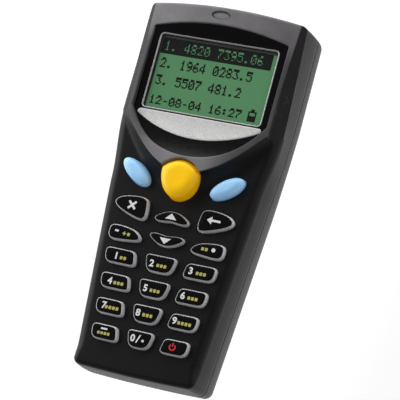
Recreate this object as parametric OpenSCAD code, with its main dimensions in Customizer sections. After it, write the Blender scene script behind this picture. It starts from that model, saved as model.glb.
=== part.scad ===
// Pocket barcode data terminal, lying on its back: +X right, +Y towards the
// display head, +Z out of the keypad face. Z = 0 is the flat back.

/* [Body] */
// Overall length, foot end to head end
body_l = 122; // [121:0.5:123]
// Widest width, across the display head
body_w = 56; // [55.5:0.25:57]
// Width at the foot end, on the parting line
foot_w = 42.6; // [42:0.2:44]
// Thickness, from the flat back to the crown of the scan key
body_h = 32; // [31.5:0.25:32.5]
// Wall thickness of both casing shells
wall = 2; // [1.8:0.1:2.1]
// Height of the parting line above the flat back
part_z = 15; // [14.75:0.25:15.25]
// Radius of the soft edge round the keypad face
face_r = 2; // [1.6:0.1:2.2]

/* [Display] */
// Width of the clear display lens
lens_w = 41.4; // [40:0.2:42]
// Length of the clear display lens
lens_l = 25.8; // [25:0.2:26.4]
// Thickness of the clear display lens
lens_t = 1; // [0.8:0.1:1.1]
// Length of the status window in the head
status_w = 6.4; // [5:0.2:7]

/* [Keypad] */
// How far a digit key stands above the keypad face
key_proud = 1.8; // [1.4:0.1:2]
// Gap between a key and the edge of its opening
key_gap = 0.25; // [0.2:0.05:0.35]
// Width of the sloping silver rim round a key's face
key_rim = 0.85; // [0.6:0.05:1]
// Size of a digit key along the body
digit_h = 5.8; // [5.4:0.1:6]
// Distance between rows of digit keys
row_pitch = 8.17; // [8:0.01:8.2]
// Diameter of the stem that reaches the circuit board
stem_d = 3; // [2.4:0.1:3.2]

/* [Battery door] */
// Diameter of one battery cell
cell_d = 10.5; // [10:0.1:10.5]
// Length of one battery cell
cell_l = 44.5; // [44:0.1:44.6]
// Thickness of the battery door
door_t = 1.6; // [1.4:0.1:1.6]
// Diameter of the hinge pin
pin_d = 1.6; // [1.2:0.1:1.6]
// Radial running clearance of the door on its pin
pin_clear = 0.05; // [0.03:0.01:0.08]

/* [Fasteners] */
// Head diameter of a case screw
screw_head_d = 4.6; // [4:0.1:4.8]
// Shank diameter of a case screw
screw_d = 2; // [1.8:0.1:2]

/* [Hidden] */
$fn = 48;
e = 0.01;
zk = body_h - 6;                 // keypad face
skin_z = zk - wall;              // inner side of the keypad face
y0 = -body_l/2;
y1 = body_l/2;
pcb_top = zk - 6;
pcb_t = 1.6;
floor_z = zk - 1;                // floor of the display recess
hinge_y = 4;
hinge_z = 2.6;
door_w = 25.2;
door_y = -52.4;                  // free edge of the door
case_screw_at = [[21, 54.6], [-21, 54.6], [15.5, -55], [-15.5, -55]];
pcb_screw_at = [[21.3, 15.5], [-21.3, 15.5], [0, -55.2]];

function lerp(a, b, t) = a + (b - a)*t;
function sm(t) = let(c = max(0, min(1, t))) c*c*(3 - 2*c);
// half width of the body at y, from its foot, neck, shoulder and crown widths
// s = 1 gives the straighter line of the parting, 0 the waisted line of the face
function half_w(y, w, s = 0) = y < 0 ? lerp(w[0], w[1], (y + 61)/61)
    : lerp(y < 23 ? lerp(w[1], w[2], sm(y/23)) : lerp(w[2], w[3], (y - 23)/38),
        y < 30 ? let(t = y/30) lerp(w[1], w[2], 1.5*t - 0.5*t*t) : lerp(w[2], w[3], (y - 30)/31), s);
function bow(x, h, b) = b*pow(x/h, 2);
function rev(p) = [for (i = [len(p) - 1:-1:0]) p[i]];
// closes a right half, listed from foot to head on x >= 0, with its mirror
function both(h) = concat(h, [for (p = rev(h)) if (p[0] > 0.001) [-p[0], p[1]]]);
function body_half(w, ya, yb, ra, rb, s, ba = 0.45, bb = -1.25) =
    let(ha = half_w(ya + ra, w, s), hb = half_w(yb - rb, w, s),
        xa = ha - ra, xb = hb - rb,
        ca = ya + ra + bow(xa, ha, ba), cb = yb - rb + bow(xb, hb, bb))
    concat([for (i = [0:3]) [xa*i/4, ya + bow(xa*i/4, ha, ba)]],
        [for (a = [-90:22.5:0]) [xa + ra*cos(a), ca + ra*sin(a)]],
        [for (i = [1:13]) let(y = lerp(ca, cb, i/14)) [half_w(y, w, s), y]],
        [for (a = [0:22.5:90]) [xb + rb*cos(a), cb + rb*sin(a)]],
        [for (i = [3:-1:0]) [xb*i/4, yb + bow(xb*i/4, hb, bb)]]);
function body_ring(w, d, ya, yb, s = 0, ra = 2.5, rb = 1.6) =
    both(body_half([w[0] - d[0], w[1] - d[0], w[2] - d[1], w[3] - d[1]], ya, yb, ra, rb, s));
w_part = [foot_w/2, foot_w/2 + 4.85, body_w/2 - 0.05, body_w/2];
w_face = w_part - [0.85, 0.7, 0.05, 1.3];

// closed skin through rings of equal point counts, rings = [[z, points], ...]
module loft(rings) {
    n = len(rings[0][1]);
    m = len(rings);
    polyhedron(points = [for (r = rings) for (p = r[1]) [p[0], p[1], r[0]]],
        faces = concat([[for (i = [0:n - 1]) i]],
            [for (k = [0:m - 2]) for (i = [0:n - 1]) [k*n + i, (k + 1)*n + i, (k + 1)*n + (i + 1)%n]],
            [for (k = [0:m - 2]) for (i = [0:n - 1]) [k*n + i, (k + 1)*n + (i + 1)%n, k*n + (i + 1)%n]],
            [[for (i = [n - 1:-1:0]) (m - 1)*n + i]]), convexity = 8);
}
// points moved along their own normals, inwards for d > 0
function inset(p, d) = let(n = len(p)) [for (i = [0:n - 1])
    let(t = p[(i + 1)%n] - p[(i + n - 1)%n], u = t/max(1e-6, norm(t))) p[i] - d*[u[1], -u[0]]];
// polygon with its corners rounded by short curves, r = one radius per corner
function soft(p, r, k = 5) = let(n = len(p)) [for (i = [0:n - 1])
    let(b = p[i], a = p[(i + n - 1)%n], c = p[(i + 1)%n],
        u = (a - b)/norm(a - b), v = (c - b)/norm(c - b),
        rr = is_list(r) ? r[i] : r,
        s = min(rr, 0.48*norm(a - b), 0.48*norm(c - b)))
    for (j = [0:k - 1]) let(t = j/(k - 1)) b + u*s*pow(1 - t, 2) + v*s*t*t];
function flip(p) = rev([for (q = p) [-q[0], q[1]]]);
function shift(p, v) = [for (q = p) q + v];

// ---------- casing forms ----------
function front_ring(z, d, e0 = 0, e1 = 0) =
    let(t = min(1, (z - part_z)/(skin_z - part_z)), w = lerp(w_part, w_face, t))
    body_ring(w, [d, d], lerp(y0, y0 + 0.4, t) + e0, y1 - e1, 1 - t);
module front_form() {
    loft(concat([[part_z, front_ring(part_z, 0)]],
        [for (a = [0:22.5:90]) let(v = 1.8*face_r, d = 1.6*face_r*(1 - cos(a)))
            [zk - v + v*sin(a), front_ring(zk - v, d, d*0.5, d*0.4)]]));
}
// lower edge of the shield round the display, at x
function v_low(x) = let(s = max(0, x - 6)) 6.0 + 0.47*s + 0.0248*s*s;
// upper edge of the shield's rim, where the display recess starts
function v_rim(x) = 10.4 + 0.0175*x*x + 1.7e-5*pow(x, 4);
function shield_half(dv, xs, yt) = let(n = 12, hs = 24.6)
    concat([for (i = [0:n]) let(x = hs*i/n) [x*xs/hs, v_low(x) - dv*(1 - 0.35*i/n)]],
        [for (i = [1:7]) let(y = lerp(v_low(hs) - dv*0.65, yt - 3.2, i/8)) [xs - 0.5*sm((y - 30)/40), y]],
        [for (a = [0:22.5:90]) [xs - 2.3 + 1.8*cos(a), yt - 3.4 + 1.8*sin(a)]],
        [for (i = [4:-1:0]) let(x = (xs - 3.4)*i/5) [x, yt - 1.6*pow(x/24.4, 2)]]);
module shield_form() {
    intersection() {
        loft([[zk - 1.2, both(shield_half(10, 27.2, y1 - 0.1))],
            [zk - 0.1, both(shield_half(7.4, 26.2, y1 - 0.1))],
            [zk + 0.7, both(shield_half(5, 25.3, y1 - 0.1))],
            [zk + 1.6, both(shield_half(3.2, 24.6, y1 - 0.15))],
            [zk + 3.0, both(shield_half(1.6, 24.4, y1 - 0.2))],
            [zk + 4.2, both(shield_half(0.6, 24.3, y1 - 0.5))],
            [zk + 8, both(shield_half(0, 24.2, y1 - 1.4))]]);
        translate([0, -20, zk + 6.45 - 120]) rotate([-91.8, 0, 0]) translate([0, 0, -5])
            cylinder(r = 120, h = 110, $fn = 180);
    }
}
function recess_half(d) = let(n = 10, hx = 23.15 - d)
    concat([for (i = [0:n]) let(x = hx*i/n) [x, v_rim(x) + d]],
        [for (i = [1:5]) [hx, lerp(v_rim(hx) + d, 52.3 - d, i/6)]],
        [for (i = [n:-1:0]) let(x = hx*i/n) [x, 55.1 - d - 0.0055*x*x]]);
module prism(p, z, h) { translate([0, 0, z]) linear_extrude(h) polygon(p); }
module oval(w, h, z, t) { translate([0, 0, z]) linear_extrude(t) scale([w, h]) circle(d = 1); }
module plate(w, l, r, z, t) {
    translate([0, 0, z]) linear_extrude(t) union() {
        square([w - 2*r, l], center = true);
        square([w, l - 2*r], center = true);
        for (i = [-1, 1], j = [-1, 1]) translate([i*(w/2 - r), j*(l/2 - r)]) circle(r = r);
    }
}
lens_y = 37.5;

// ---------- keys ----------
// centre line of a digit row, row 0 nearest the foot
function row_y(i) = -48.9 + row_pitch*i;
mid_hw = [4.7, 5.15, 5.4, 5.55];
out_a = [6.85, 7.2, 7.45, 7.75];
out_b = [16.6, 17.45, 18.2, 19.05];
function digit_mid(i) = let(h = digit_h/2, w = mid_hw[i] - 0.05)
    shift(soft([[-w + 1.25, -h], [w - 1.25, -h], [w, h], [-w, h]], [2.4, 2.4, 1.5, 1.5]), [0, row_y(i)]);
function digit_out(i) = let(h = digit_h/2 - 0.3, a = out_a[i] + 0.1, b = out_b[i] + 0.15)
    shift(soft([[a, -h], [b - 0.5, -h + 0.05], [b, h], [a + 1.1, h - 0.1]], [1.8, 2.3, 1.8, 1.5]), [0, row_y(i)]);
// closed line with its corners cut, k times over
function chaikin(p, k) = k == 0 ? p : let(n = len(p))
    chaikin([for (i = [0:n - 1]) for (t = [0.25, 0.75]) lerp(p[i], p[(i + 1)%n], t)], k - 1);
escape_pts = chaikin([[8.65, -9.9], [9.1, -11.5], [10.7, -11.9], [14.1, -11], [17.6, -9.75], [20, -8.4], [20.6, -6.9],
    [19.3, -5.4], [17, -4.6], [13.8, -4.15], [10.7, -4.2], [9.3, -5], [8.8, -7.4]], 1);
dot_pts = chaikin(rev([[8.35, -17.9], [9.1, -16.5], [11, -15.15], [14.2, -14.5], [17.9, -14.25], [19.6, -14.8],
    [20, -16.8], [19.5, -19], [17.5, -19.6], [13, -19.25], [9.4, -18.9]]), 1);
up_pts = chaikin([[-4.9, -10.98], [-2.6, -10.95], [0, -10.5], [2.6, -10.95], [4.9, -10.98], [5.95, -10.3], [5.75, -9.35],
    [4.4, -8.4], [2.6, -7.4], [0, -6.85], [-2.6, -7.4], [-4.4, -8.4], [-5.75, -9.35], [-5.95, -10.3]], 1);
down_pts = rev([for (q = up_pts) [q[0], -25.6 - q[1]]]);
// dx = how far this key lies out from the mirrored place
function blue_pts(dx) = let(a = 5.95, b = 2.75) [for (t = [0:12:348])
    let(x = a*cos(t), y = b*sin(t)) [15.6 + dx + x*cos(35) - y*sin(35), 3.45 + x*sin(35) + y*cos(35)]];
scan_pts = shift(concat([for (t = [-90:15:0]) [6.55*cos(t), 6.1 + 9.35*sin(t)]],
    [for (x = [6:-1.5:-6]) [x, 9.35 - 2.6*pow(x/6, 2)]],
    [for (t = [180:15:255]) [6.55*cos(t), 6.1 + 9.35*sin(t)]]), [-0.45, 0.05]);
flange_t = 0.9;
// p = outline at the keypad face, at = stem centre, tops = [[height, inset], ...]
module key(p, at, tops) {
    prism(inset(p, -0.55), skin_z - 0.1 - flange_t, flange_t);
    loft(concat([[skin_z - 0.4, p]], [for (t = tops) [zk + t[0], inset(p, t[1])]]));
    translate([at[0], at[1], pcb_top + 1]) cylinder(d = stem_d, h = skin_z - pcb_top - 1.5);
}
flat_top = [[0.35, 0], [key_proud - 0.35, key_rim*0.75], [key_proud - 0.1, key_rim*0.9], [key_proud, key_rim + 0.15]];
module digit(p, at, f = 1) { color([0.16, 0.16, 0.17]) key(p, at, [for (t = flat_top) [t[0], t[1]*f]]); }
blue_top = [[1.9, 0], [2.8, 0.25], [3.4, 0.8], [3.8, 1.6], [3.9, 2.2]];
scan_top = [[4.2, 0], [5.0, 0.3], [5.6, 0.9], [5.9, 1.8], [6, 2.8]];
outer_x = [11.6, 12.3, 12.8, 13.3];
key_holes = concat([for (i = [0:3]) digit_mid(i)], [for (i = [0:3]) digit_out(i)],
    [for (i = [0:3]) flip(digit_out(i))], [escape_pts, flip(escape_pts), dot_pts, flip(dot_pts),
    up_pts, down_pts, blue_pts(-0.4), flip(blue_pts(0.45)), scan_pts]);
stems = concat([for (i = [0:3]) [0, row_y(i)]], [for (s = [-1, 1]) for (i = [0:3]) [s*outer_x[i], row_y(i)]],
    [for (s = [-1, 1]) [s*13.6, -8]], [for (s = [-1, 1]) [s*14.6, -16.7]],
    [[0, -8.6], [0, -17]], [for (s = [-1, 1]) [s*15.6, 3.4]], [[0, 3.8]]);

// ---------- casing ----------
module front_cover() color([0.12, 0.12, 0.13]) {
    difference() {
        union() {
            front_form();
            shield_form();
        }
        difference() {
            loft([[part_z - 1, front_ring(part_z, wall, wall, wall)],
                [part_z, front_ring(part_z, wall, wall, wall)],
                [skin_z, front_ring(skin_z, wall, wall, wall)]]);
            for (p = case_screw_at) translate([p[0], p[1], part_z - 2]) cylinder(r = 2.7, h = 20);
            for (p = pcb_screw_at) translate([p[0], p[1], pcb_top]) cylinder(r = 2, h = 10);
        }
        prism(both(recess_half(0)), floor_z, 12);
        translate([0, lens_y, 0]) plate(39.6, 24.8, 1, zk - 4, 8);
        for (p = key_holes) prism(inset(p, -key_gap), zk - 6, 14);
        translate([-1, 58.05, 0]) oval(status_w + 0.2, 2.9, pcb_top - 0.2, 16);
        for (p = case_screw_at) translate([p[0], p[1], part_z - 3]) cylinder(d = screw_d + 0.1, h = 8);
        for (p = pcb_screw_at) translate([p[0], p[1], pcb_top - 1]) cylinder(d = 1.5, h = 4.5);
        translate([-16, 56, 6]) cube([32, 8, 11]);
        seal_ring(1.15, 0.4);
    }
}
module seal_ring(w, h) {
    p = front_ring(part_z, 0.45, 0.45, 0.45);
    translate([0, 0, part_z - h]) linear_extrude(2*h) difference() {
        polygon(p);
        polygon(front_ring(part_z, 0.45 + w, 0.45 + w, 0.45 + w));
    }
}
function back_ring(z, d) = let(t = max(0, min(1, (part_z - z)/part_z)), th = max(0, (12.5 - z)/12.5),
        f = 9*(1 - pow(max(0, 1 - pow(t, 2.6)), 0.385)), h = 10*(1 - sqrt(max(0, 1 - th*th))))
    body_ring(w_part, [f + d, h + d], y0 + 0.5*f + d, y1 - 0.4*h - d, 1);
module back_form() {
    loft([for (z = [0, 0.35, 1.2, 2.6, 4.6, 7.2, 10, 12.5, part_z]) [z, back_ring(z, 0)]]);
}
module back_cover() color([0.15, 0.15, 0.16]) {
    difference() {
        union() {
            difference() {
                back_form();
                difference() {
                    loft([for (z = [wall, 3.2, 5, 7.5, 10.5, 12.5, part_z, part_z + 1]) [z, back_ring(min(z, part_z), wall)]]);
                    for (p = case_screw_at) translate([p[0], p[1], -1]) cylinder(r = 3.5, h = 20);
                }
            }
            translate([-13, -51.6, 1]) cube([26, 52.4, part_z - 1.2]);
            translate([-14.2, 0.4, 1]) cube([28.4, 8.6, 7]);
            translate([-12, 39.4, 1]) cube([24, 1.2, 9]);
        }
        // battery bay, its open mouth and the rebate of the door
        translate([-11.6, -49.2, -1]) cube([23.2, 48.3, part_z]);
        translate([-door_w/2 - 0.2, door_y - 0.2, -1]) cube([door_w + 0.4, 56.6, hinge_z - 0.6 + 1]);
        // hinge pocket
        translate([-12.8, hinge_y, hinge_z]) rotate([0, 90, 0]) cylinder(r = 3.4, h = 25.6);
        translate([-12.8, hinge_y - 3.4, -1]) cube([25.6, 6.8, hinge_z + 1]);
        // slot and room for the sliding latch
        translate([-5.3, -54.8, 1.75]) cube([10.6, 8, 1.45]);
        // scan window, infrared window, screws and seal groove
        translate([-16, 56, 6]) cube([32, 8, 11]);
        translate([-17.6, 56.2, 4.6]) cube([35.2, 1.9, 12]);
        translate([-7, -62, 5.4]) cube([14, 5, 5.2]);
        for (p = case_screw_at) translate([p[0], p[1], -1]) {
            cylinder(d = screw_head_d + 0.4, h = 5.5);
            cylinder(d = screw_d + 0.6, h = 30);
        }
        seal_ring(1.15, 0.4);
    }
    // hinge lugs
    for (s = [-1, 1]) difference() {
        union() {
            translate([s*6 - 1.9, hinge_y, hinge_z]) rotate([0, 90, 0]) cylinder(r = 1.85, h = 3.8);
            translate([s*6 - 1.9, hinge_y - 1.85, hinge_z]) cube([3.8, 3.7, 4]);
        }
        translate([s*6 - 3, hinge_y, hinge_z]) rotate([0, 90, 0]) cylinder(d = pin_d + 0.04, h = 6);
    }
}
// height of the dark insert's upper surface at y, above the keypad face
function insert_z(y) = y < 24.4 ? 1.2 + 3.4*pow((24.4 - y)/14, 1.5)
    : y < 50.6 ? 1.2 : 1.2 + 2*pow((y - 50.6)/4.5, 1.4);
insert_ys = concat([10.2, 11.5, 13, 14.5, 16, 17.5, 19, 20.5, 22, 23.2], [24.4, 50.6], [51.6, 52.8, 54, 55.2]);
module display_bezel() color([0.05, 0.05, 0.055]) difference() {
    intersection() {
        prism(both(recess_half(0.12)), floor_z, 9);
        translate([-30, 0, 0]) rotate([90, 0, 90]) linear_extrude(60)
            polygon(concat([for (y = insert_ys) [y, zk + insert_z(y)]],
                [for (y = rev(insert_ys)) [y, max(floor_z, zk + insert_z(y) - 1.8)]]));
    }
    translate([0, lens_y, 0]) plate(lens_w + 0.1, lens_l + 0.1, 1.5, zk + 1.2 - lens_t, 3);
    translate([0, lens_y, 0]) plate(38.8, 23.6, 1, zk - 2, 5);
}
module display_lens() color([0.75, 0.85, 0.8, 0.4])
    translate([0, lens_y, 0]) plate(lens_w, lens_l, 1.45, zk + 1.2 - lens_t, lens_t);
trim_ys = [for (i = [0:10]) lerp(16.5, 24.4, i/10)];
module trim_plate() color([0.75, 0.76, 0.77]) intersection() {
    prism(both(concat([for (i = [0:10]) let(x = 21.6*i/10) [x, 16.75 + 0.0133*x*x]], [[21.4, 24.2], [0, 24.2]])), zk, 9);
    translate([-30, 0, 0]) rotate([90, 0, 90]) linear_extrude(60)
        polygon(concat([for (y = trim_ys) [y, zk + trim_z(y)]], [for (y = rev(trim_ys)) [y, zk + trim_z(y) + 0.25]]));
}
// the trim follows the insert's own facets
function trim_z(y) = let(k = [for (i = [0:len(insert_ys) - 2]) if (y >= insert_ys[i] && y <= insert_ys[i + 1]) i][0],
    a = insert_ys[k], b = insert_ys[k + 1]) lerp(insert_z(a), insert_z(b), (y - a)/(b - a)) + 0.01;
module status_lens() color([0.8, 0.82, 0.8])
    translate([-1, 58.05, 0]) oval(status_w, 2.7, pcb_top + 0.1, zk + 3.5 - pcb_top - 0.1);
module lcd_glass() color([0.45, 0.62, 0.48]) {
    translate([-22, 22.6, zk - 4.1]) cube([44, 29.2, 2]);
    translate([-19.2, lens_y - 11.65, zk - 4.1]) cube([38.4, 23.3, 4.1]);
}
module lcd_backlight() color([0.9, 0.92, 0.9]) translate([-21.5, 23, zk - 5.9]) cube([43, 28.4, 1.7]);
module lcd_flex() color([0.75, 0.5, 0.2]) translate([-10, 21.2, 0]) {
    translate([0, 0, pcb_top]) cube([20, 0.3, 3]);
    translate([0, 0, zk - 3]) cube([20, 1.35, 0.3]);
}
module keypad_mat() color([0.35, 0.35, 0.36]) difference() {
    union() {
        prism(front_ring(skin_z, wall + 1.2, wall + 2.2, 52), skin_z - 2.9, 0.9);
        difference() {
            prism(front_ring(skin_z, wall + 1.2, wall + 2.2, 52), pcb_top, 1.2);
            prism(front_ring(skin_z, wall + 2.6, wall + 3.6, 53.4), pcb_top - 1, 3);
        }
    }
    for (p = stems) translate([p[0], p[1], 0]) cylinder(d = stem_d + 0.8, h = 60);
    for (p = case_screw_at) translate([p[0], p[1], 0]) cylinder(r = 3.1, h = 60);
    for (p = pcb_screw_at) translate([p[0], p[1], 0]) cylinder(r = 2.5, h = 60);
}
module main_pcb() color([0.1, 0.38, 0.2]) difference() {
    prism(front_ring(skin_z - 4, wall + 0.8, wall + 1, wall + 0.5), pcb_top - pcb_t, pcb_t);
    for (p = case_screw_at) translate([p[0], p[1], 0]) cylinder(r = 3.1, h = 60);
    for (p = pcb_screw_at) translate([p[0], p[1], 0]) cylinder(r = 1, h = 60);
}

// ---------- keys, one module each ----------
module key_scan() color([1, 0.8, 0.05]) key(scan_pts, [0, 3.8], scan_top);
module blue_key(p, x) color([0.62, 0.8, 0.94]) key(p, [x, 3.4], blue_top);
module key_left() blue_key(flip(blue_pts(0.45)), -15.6);
module key_right() mirror([1, 0, 0]) blue_key(flip(blue_pts(-0.4)), -15.6);
module key_escape() digit(flip(escape_pts), [-13.6, -8]);
module key_backspace() digit(escape_pts, [13.6, -8]);
module key_down() digit(down_pts, [0, -17], 0.6);
module key_up() translate([0, -25.6, 0]) mirror([0, 1, 0]) key_down();
module key_minus() digit(flip(dot_pts), [-14.6, -16.7]);
module key_dot() digit(dot_pts, [14.6, -16.7]);
module left_digit(i) { digit(flip(digit_out(i)), [-outer_x[i], row_y(i)]); }
module mid_digit(i) { digit(digit_mid(i), [0, row_y(i)]); }
module right_digit(i) { digit(digit_out(i), [outer_x[i], row_y(i)]); }
module key_1() left_digit(3);
module key_2() mid_digit(3);
module key_3() right_digit(3);
module key_4() left_digit(2);
module key_5() mid_digit(2);
module key_6() right_digit(2);
module key_7() left_digit(1);
module key_8() mid_digit(1);
module key_9() right_digit(1);
module key_fn() left_digit(0);
module key_0() mid_digit(0);
module key_power() right_digit(0);

// ---------- scan engine and electronics ----------
module scan_engine() color([0.2, 0.2, 0.22]) difference() {
    translate([-11, 41, 5.5]) cube([22, 13.4, 11.5]);
    translate([0, 60, 11.5]) rotate([90, 0, 0]) cylinder(r = 3.05, h = 9);
    for (s = [-1, 1]) translate([s*7.5, 60, 11.5]) rotate([90, 0, 0]) cylinder(r = 1.8, h = 6.6);
}
module scan_lens() color([0.3, 0.3, 0.35]) translate([0, 55.4, 11.5]) rotate([90, 0, 0]) difference() {
    cylinder(r = 3, h = 4);
    translate([0, 0, -1]) cylinder(r = 2.1, h = 1.8);
}
module scan_window() color([0.45, 0.05, 0.08]) translate([-17.4, 56.3, 4.8]) cube([34.8, 1.7, 11.6]);
module engine_flex() color([0.75, 0.5, 0.2]) union() {
    translate([-6, 36.7, 16.7]) cube([12, 4.3, 0.2]);
    translate([-6, 36.7, 16.7]) cube([12, 0.2, 0.7]);
}
module board_connector() color([0.9, 0.88, 0.8]) translate([-8, 32.4, pcb_top - pcb_t - 2]) cube([16, 4.3, 2]);
module buzzer() color([0.08, 0.08, 0.08]) translate([-14, 20, pcb_top - pcb_t - 3.4]) difference() {
    cylinder(r = 6, h = 3.4);
    translate([0, 0, -1]) cylinder(r = 1, h = 2);
}
module backup_cell() color([0.75, 0.75, 0.76]) translate([13, 20, pcb_top - pcb_t - 2.2]) union() {
    cylinder(r = 6.2, h = 2.2);
    translate([0, 0, -0.3]) cylinder(r = 5, h = 0.4);
}
module ir_window() color([0.12, 0.03, 0.05]) intersection() {
    translate([-6.9, -62, 5.5]) cube([13.8, 4.2, 5]);
    back_form();
}
module case_seal() color([0.06, 0.06, 0.06]) {
    translate([0, 0, part_z - 0.35]) linear_extrude(0.7) difference() {
        polygon(front_ring(part_z, 0.6, 0.6, 0.6));
        polygon(front_ring(part_z, 1.45, 1.45, 1.45));
    }
}

// ---------- battery door and what is behind it ----------
module battery_door() color([0.14, 0.14, 0.15]) difference() {
    union() {
        difference() {
            translate([-door_w/2, door_y, 0.25]) cube([door_w, hinge_y - 2 - door_y, door_t]);
            // finger grip ribs and the slot of the latch button
            for (i = [0:3]) translate([-7, door_y + 11 + 1.6*i, 0.25 - e]) cube([14, 0.7, 0.35]);
            translate([-2.6, door_y + 2.4, -1]) cube([5.2, 5.2, 4]);
        }
        for (k = [[-12.2, 4.1], [-3.9, 7.8], [8.1, 4.1]]) {
            translate([k[0], hinge_y, hinge_z]) rotate([0, 90, 0]) cylinder(r = 1.75, h = k[1]);
            translate([k[0], hinge_y - 2 - e, 0.25]) cube([k[1], 2 + e, door_t]);
            translate([k[0], hinge_y - 1, 0.9]) cube([k[1], 1, 1.7]);
        }
    }
    translate([-13, hinge_y, hinge_z]) rotate([0, 90, 0]) cylinder(d = pin_d + 2*pin_clear, h = 26);
}
module door_pin() color([0.7, 0.7, 0.72])
    translate([-12.5, hinge_y, hinge_z]) rotate([0, 90, 0]) cylinder(d = pin_d, h = 25);
module door_latch() color([0.5, 0.1, 0.08]) union() {
    translate([-5, door_y + 0.05, 1.95]) cube([10, 6, 0.9]);
    translate([-2.5, door_y + 4.55, 0.35]) cube([5, 2.9, 1.7]);
}
module cell() {
    rotate([-90, 0, 0]) union() {
        cylinder(d = cell_d, h = cell_l - 0.9);
        cylinder(d = 3.8, h = cell_l);
    }
}
module cell_left() color([0.72, 0.55, 0.2]) translate([-5.6, -1.4 - cell_l, 3.1 + cell_d/2]) cell();
module cell_right() color([0.72, 0.55, 0.2]) translate([5.6, -48.7 + cell_l, 3.1 + cell_d/2]) rotate([0, 0, 180]) cell();
// conical wire spring along +Y, turns from its wide end
module wire_spring() {
    n = 44;
    s = 6;
    c = [for (i = [0:n]) let(a = 360*2.2*i/n, r = lerp(3.6, 1.6, i/n)) [r*cos(a), 2.75*i/n, r*sin(a)]];
    polyhedron(points = [for (i = [0:n]) let(a = 360*2.2*i/n) for (j = [0:s - 1]) let(b = 360*j/s)
            c[i] + 0.21*[cos(b)*cos(a), sin(b), cos(b)*sin(a)]],
        faces = concat([[for (j = [0:s - 1]) j]],
            [for (i = [0:n - 1]) for (j = [0:s - 1]) [i*s + j, (i + 1)*s + j, (i + 1)*s + (j + 1)%s]],
            [for (i = [0:n - 1]) for (j = [0:s - 1]) [i*s + j, (i + 1)*s + (j + 1)%s, i*s + (j + 1)%s]],
            [[for (j = [s - 1:-1:0]) n*s + j]]), convexity = 6);
}
module cell_springs() color([0.8, 0.8, 0.82]) {
    translate([-5.6, -48.97, 3.1 + cell_d/2]) wire_spring();
    translate([5.6, -1.13, 3.1 + cell_d/2]) mirror([0, 1, 0]) wire_spring();
}
module cell_contacts() color([0.8, 0.8, 0.82]) {
    translate([-9.1, -1.35, 4.4]) cube([7, 0.4, 7.6]);
    translate([2.1, -49.15, 4.4]) cube([7, 0.4, 7.6]);
}
module screw(l, hd, d) {
    difference() {
        union() {
            cylinder(d = hd, h = 1.7);
            cylinder(d = d, h = l);
        }
        for (a = [0, 90]) rotate([0, 0, a]) translate([-hd*0.3, -0.3, -1]) cube([hd*0.6, 0.6, 1.9]);
    }
}
module case_screws() color([0.55, 0.55, 0.57])
    for (p = case_screw_at) translate([p[0], p[1], 2.8]) screw(14.5, screw_head_d, screw_d);
module pcb_screws() color([0.7, 0.7, 0.72])
    for (p = pcb_screw_at) translate([p[0], p[1], pcb_top - pcb_t - 1.7]) screw(6, 3.4, 1.4);

front_cover();
back_cover();
display_bezel();
display_lens();
trim_plate();
status_lens();
lcd_glass();
lcd_backlight();
lcd_flex();
keypad_mat();
main_pcb();
key_scan();
key_left();
key_right();
key_escape();
key_backspace();
key_up();
key_down();
key_minus();
key_dot();
key_1();
key_2();
key_3();
key_4();
key_5();
key_6();
key_7();
key_8();
key_9();
key_fn();
key_0();
key_power();
scan_engine();
scan_lens();
scan_window();
engine_flex();
board_connector();
buzzer();
backup_cell();
ir_window();
case_seal();
battery_door();
door_pin();
door_latch();
cell_left();
cell_right();
cell_springs();
cell_contacts();
case_screws();
pcb_screws();
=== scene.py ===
import bpy, bmesh, math
import numpy as np
from mathutils import Vector, Matrix, kdtree
from mathutils.geometry import delaunay_2d_cdt


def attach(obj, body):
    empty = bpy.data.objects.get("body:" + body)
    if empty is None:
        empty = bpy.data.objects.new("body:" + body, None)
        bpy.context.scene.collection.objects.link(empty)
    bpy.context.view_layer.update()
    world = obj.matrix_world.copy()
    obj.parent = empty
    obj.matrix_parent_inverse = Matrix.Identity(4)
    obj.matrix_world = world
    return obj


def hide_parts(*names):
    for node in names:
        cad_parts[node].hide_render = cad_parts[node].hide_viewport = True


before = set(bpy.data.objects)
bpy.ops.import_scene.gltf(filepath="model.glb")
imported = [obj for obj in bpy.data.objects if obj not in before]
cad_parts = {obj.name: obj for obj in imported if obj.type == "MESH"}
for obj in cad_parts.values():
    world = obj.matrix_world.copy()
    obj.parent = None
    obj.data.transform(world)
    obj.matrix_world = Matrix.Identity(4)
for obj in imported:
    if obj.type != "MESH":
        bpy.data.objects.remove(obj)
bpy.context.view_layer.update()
MM = 0.001
ZK = 26.0          # keypad face, in millimetres above the flat back
SCENE = bpy.context.scene


# ------------------------------------------------------------------ camera
def camera():
    x_axis = Vector((0.9180, 0.2565, -0.3023)).normalized()
    back = Vector((0.3533, -0.1831, 0.9174))
    back = (back - x_axis * back.dot(x_axis)).normalized()
    up = back.cross(x_axis)
    data = bpy.data.cameras.new("camera")
    data.lens, data.sensor_width, data.sensor_fit = 1944.77 * 36 / 400, 36.0, "HORIZONTAL"
    data.clip_start, data.clip_end = 0.01, 50
    cam = bpy.data.objects.new("camera", data)
    m = Matrix((x_axis, up, back)).transposed().to_4x4()
    place = (613.795 * back) - (-6.006) * x_axis + (-2.668) * up
    m.translation = Vector((place.x * MM, place.y * MM, (place.z + ZK) * MM))
    cam.matrix_world = m
    SCENE.collection.objects.link(cam)
    SCENE.camera = cam


camera()
SCENE.view_settings.view_transform = "Standard"
SCENE.view_settings.look = "None"


# --------------------------------------------------------------- materials
def lin(r, g=None, b=None):
    g, b = (r if g is None else g), (r if b is None else b)
    return tuple((c / 255 / 12.92) if c / 255 <= 0.04045 else ((c / 255 + 0.055) / 1.055) ** 2.4 for c in (r, g, b)) + (1.0,)


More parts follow.
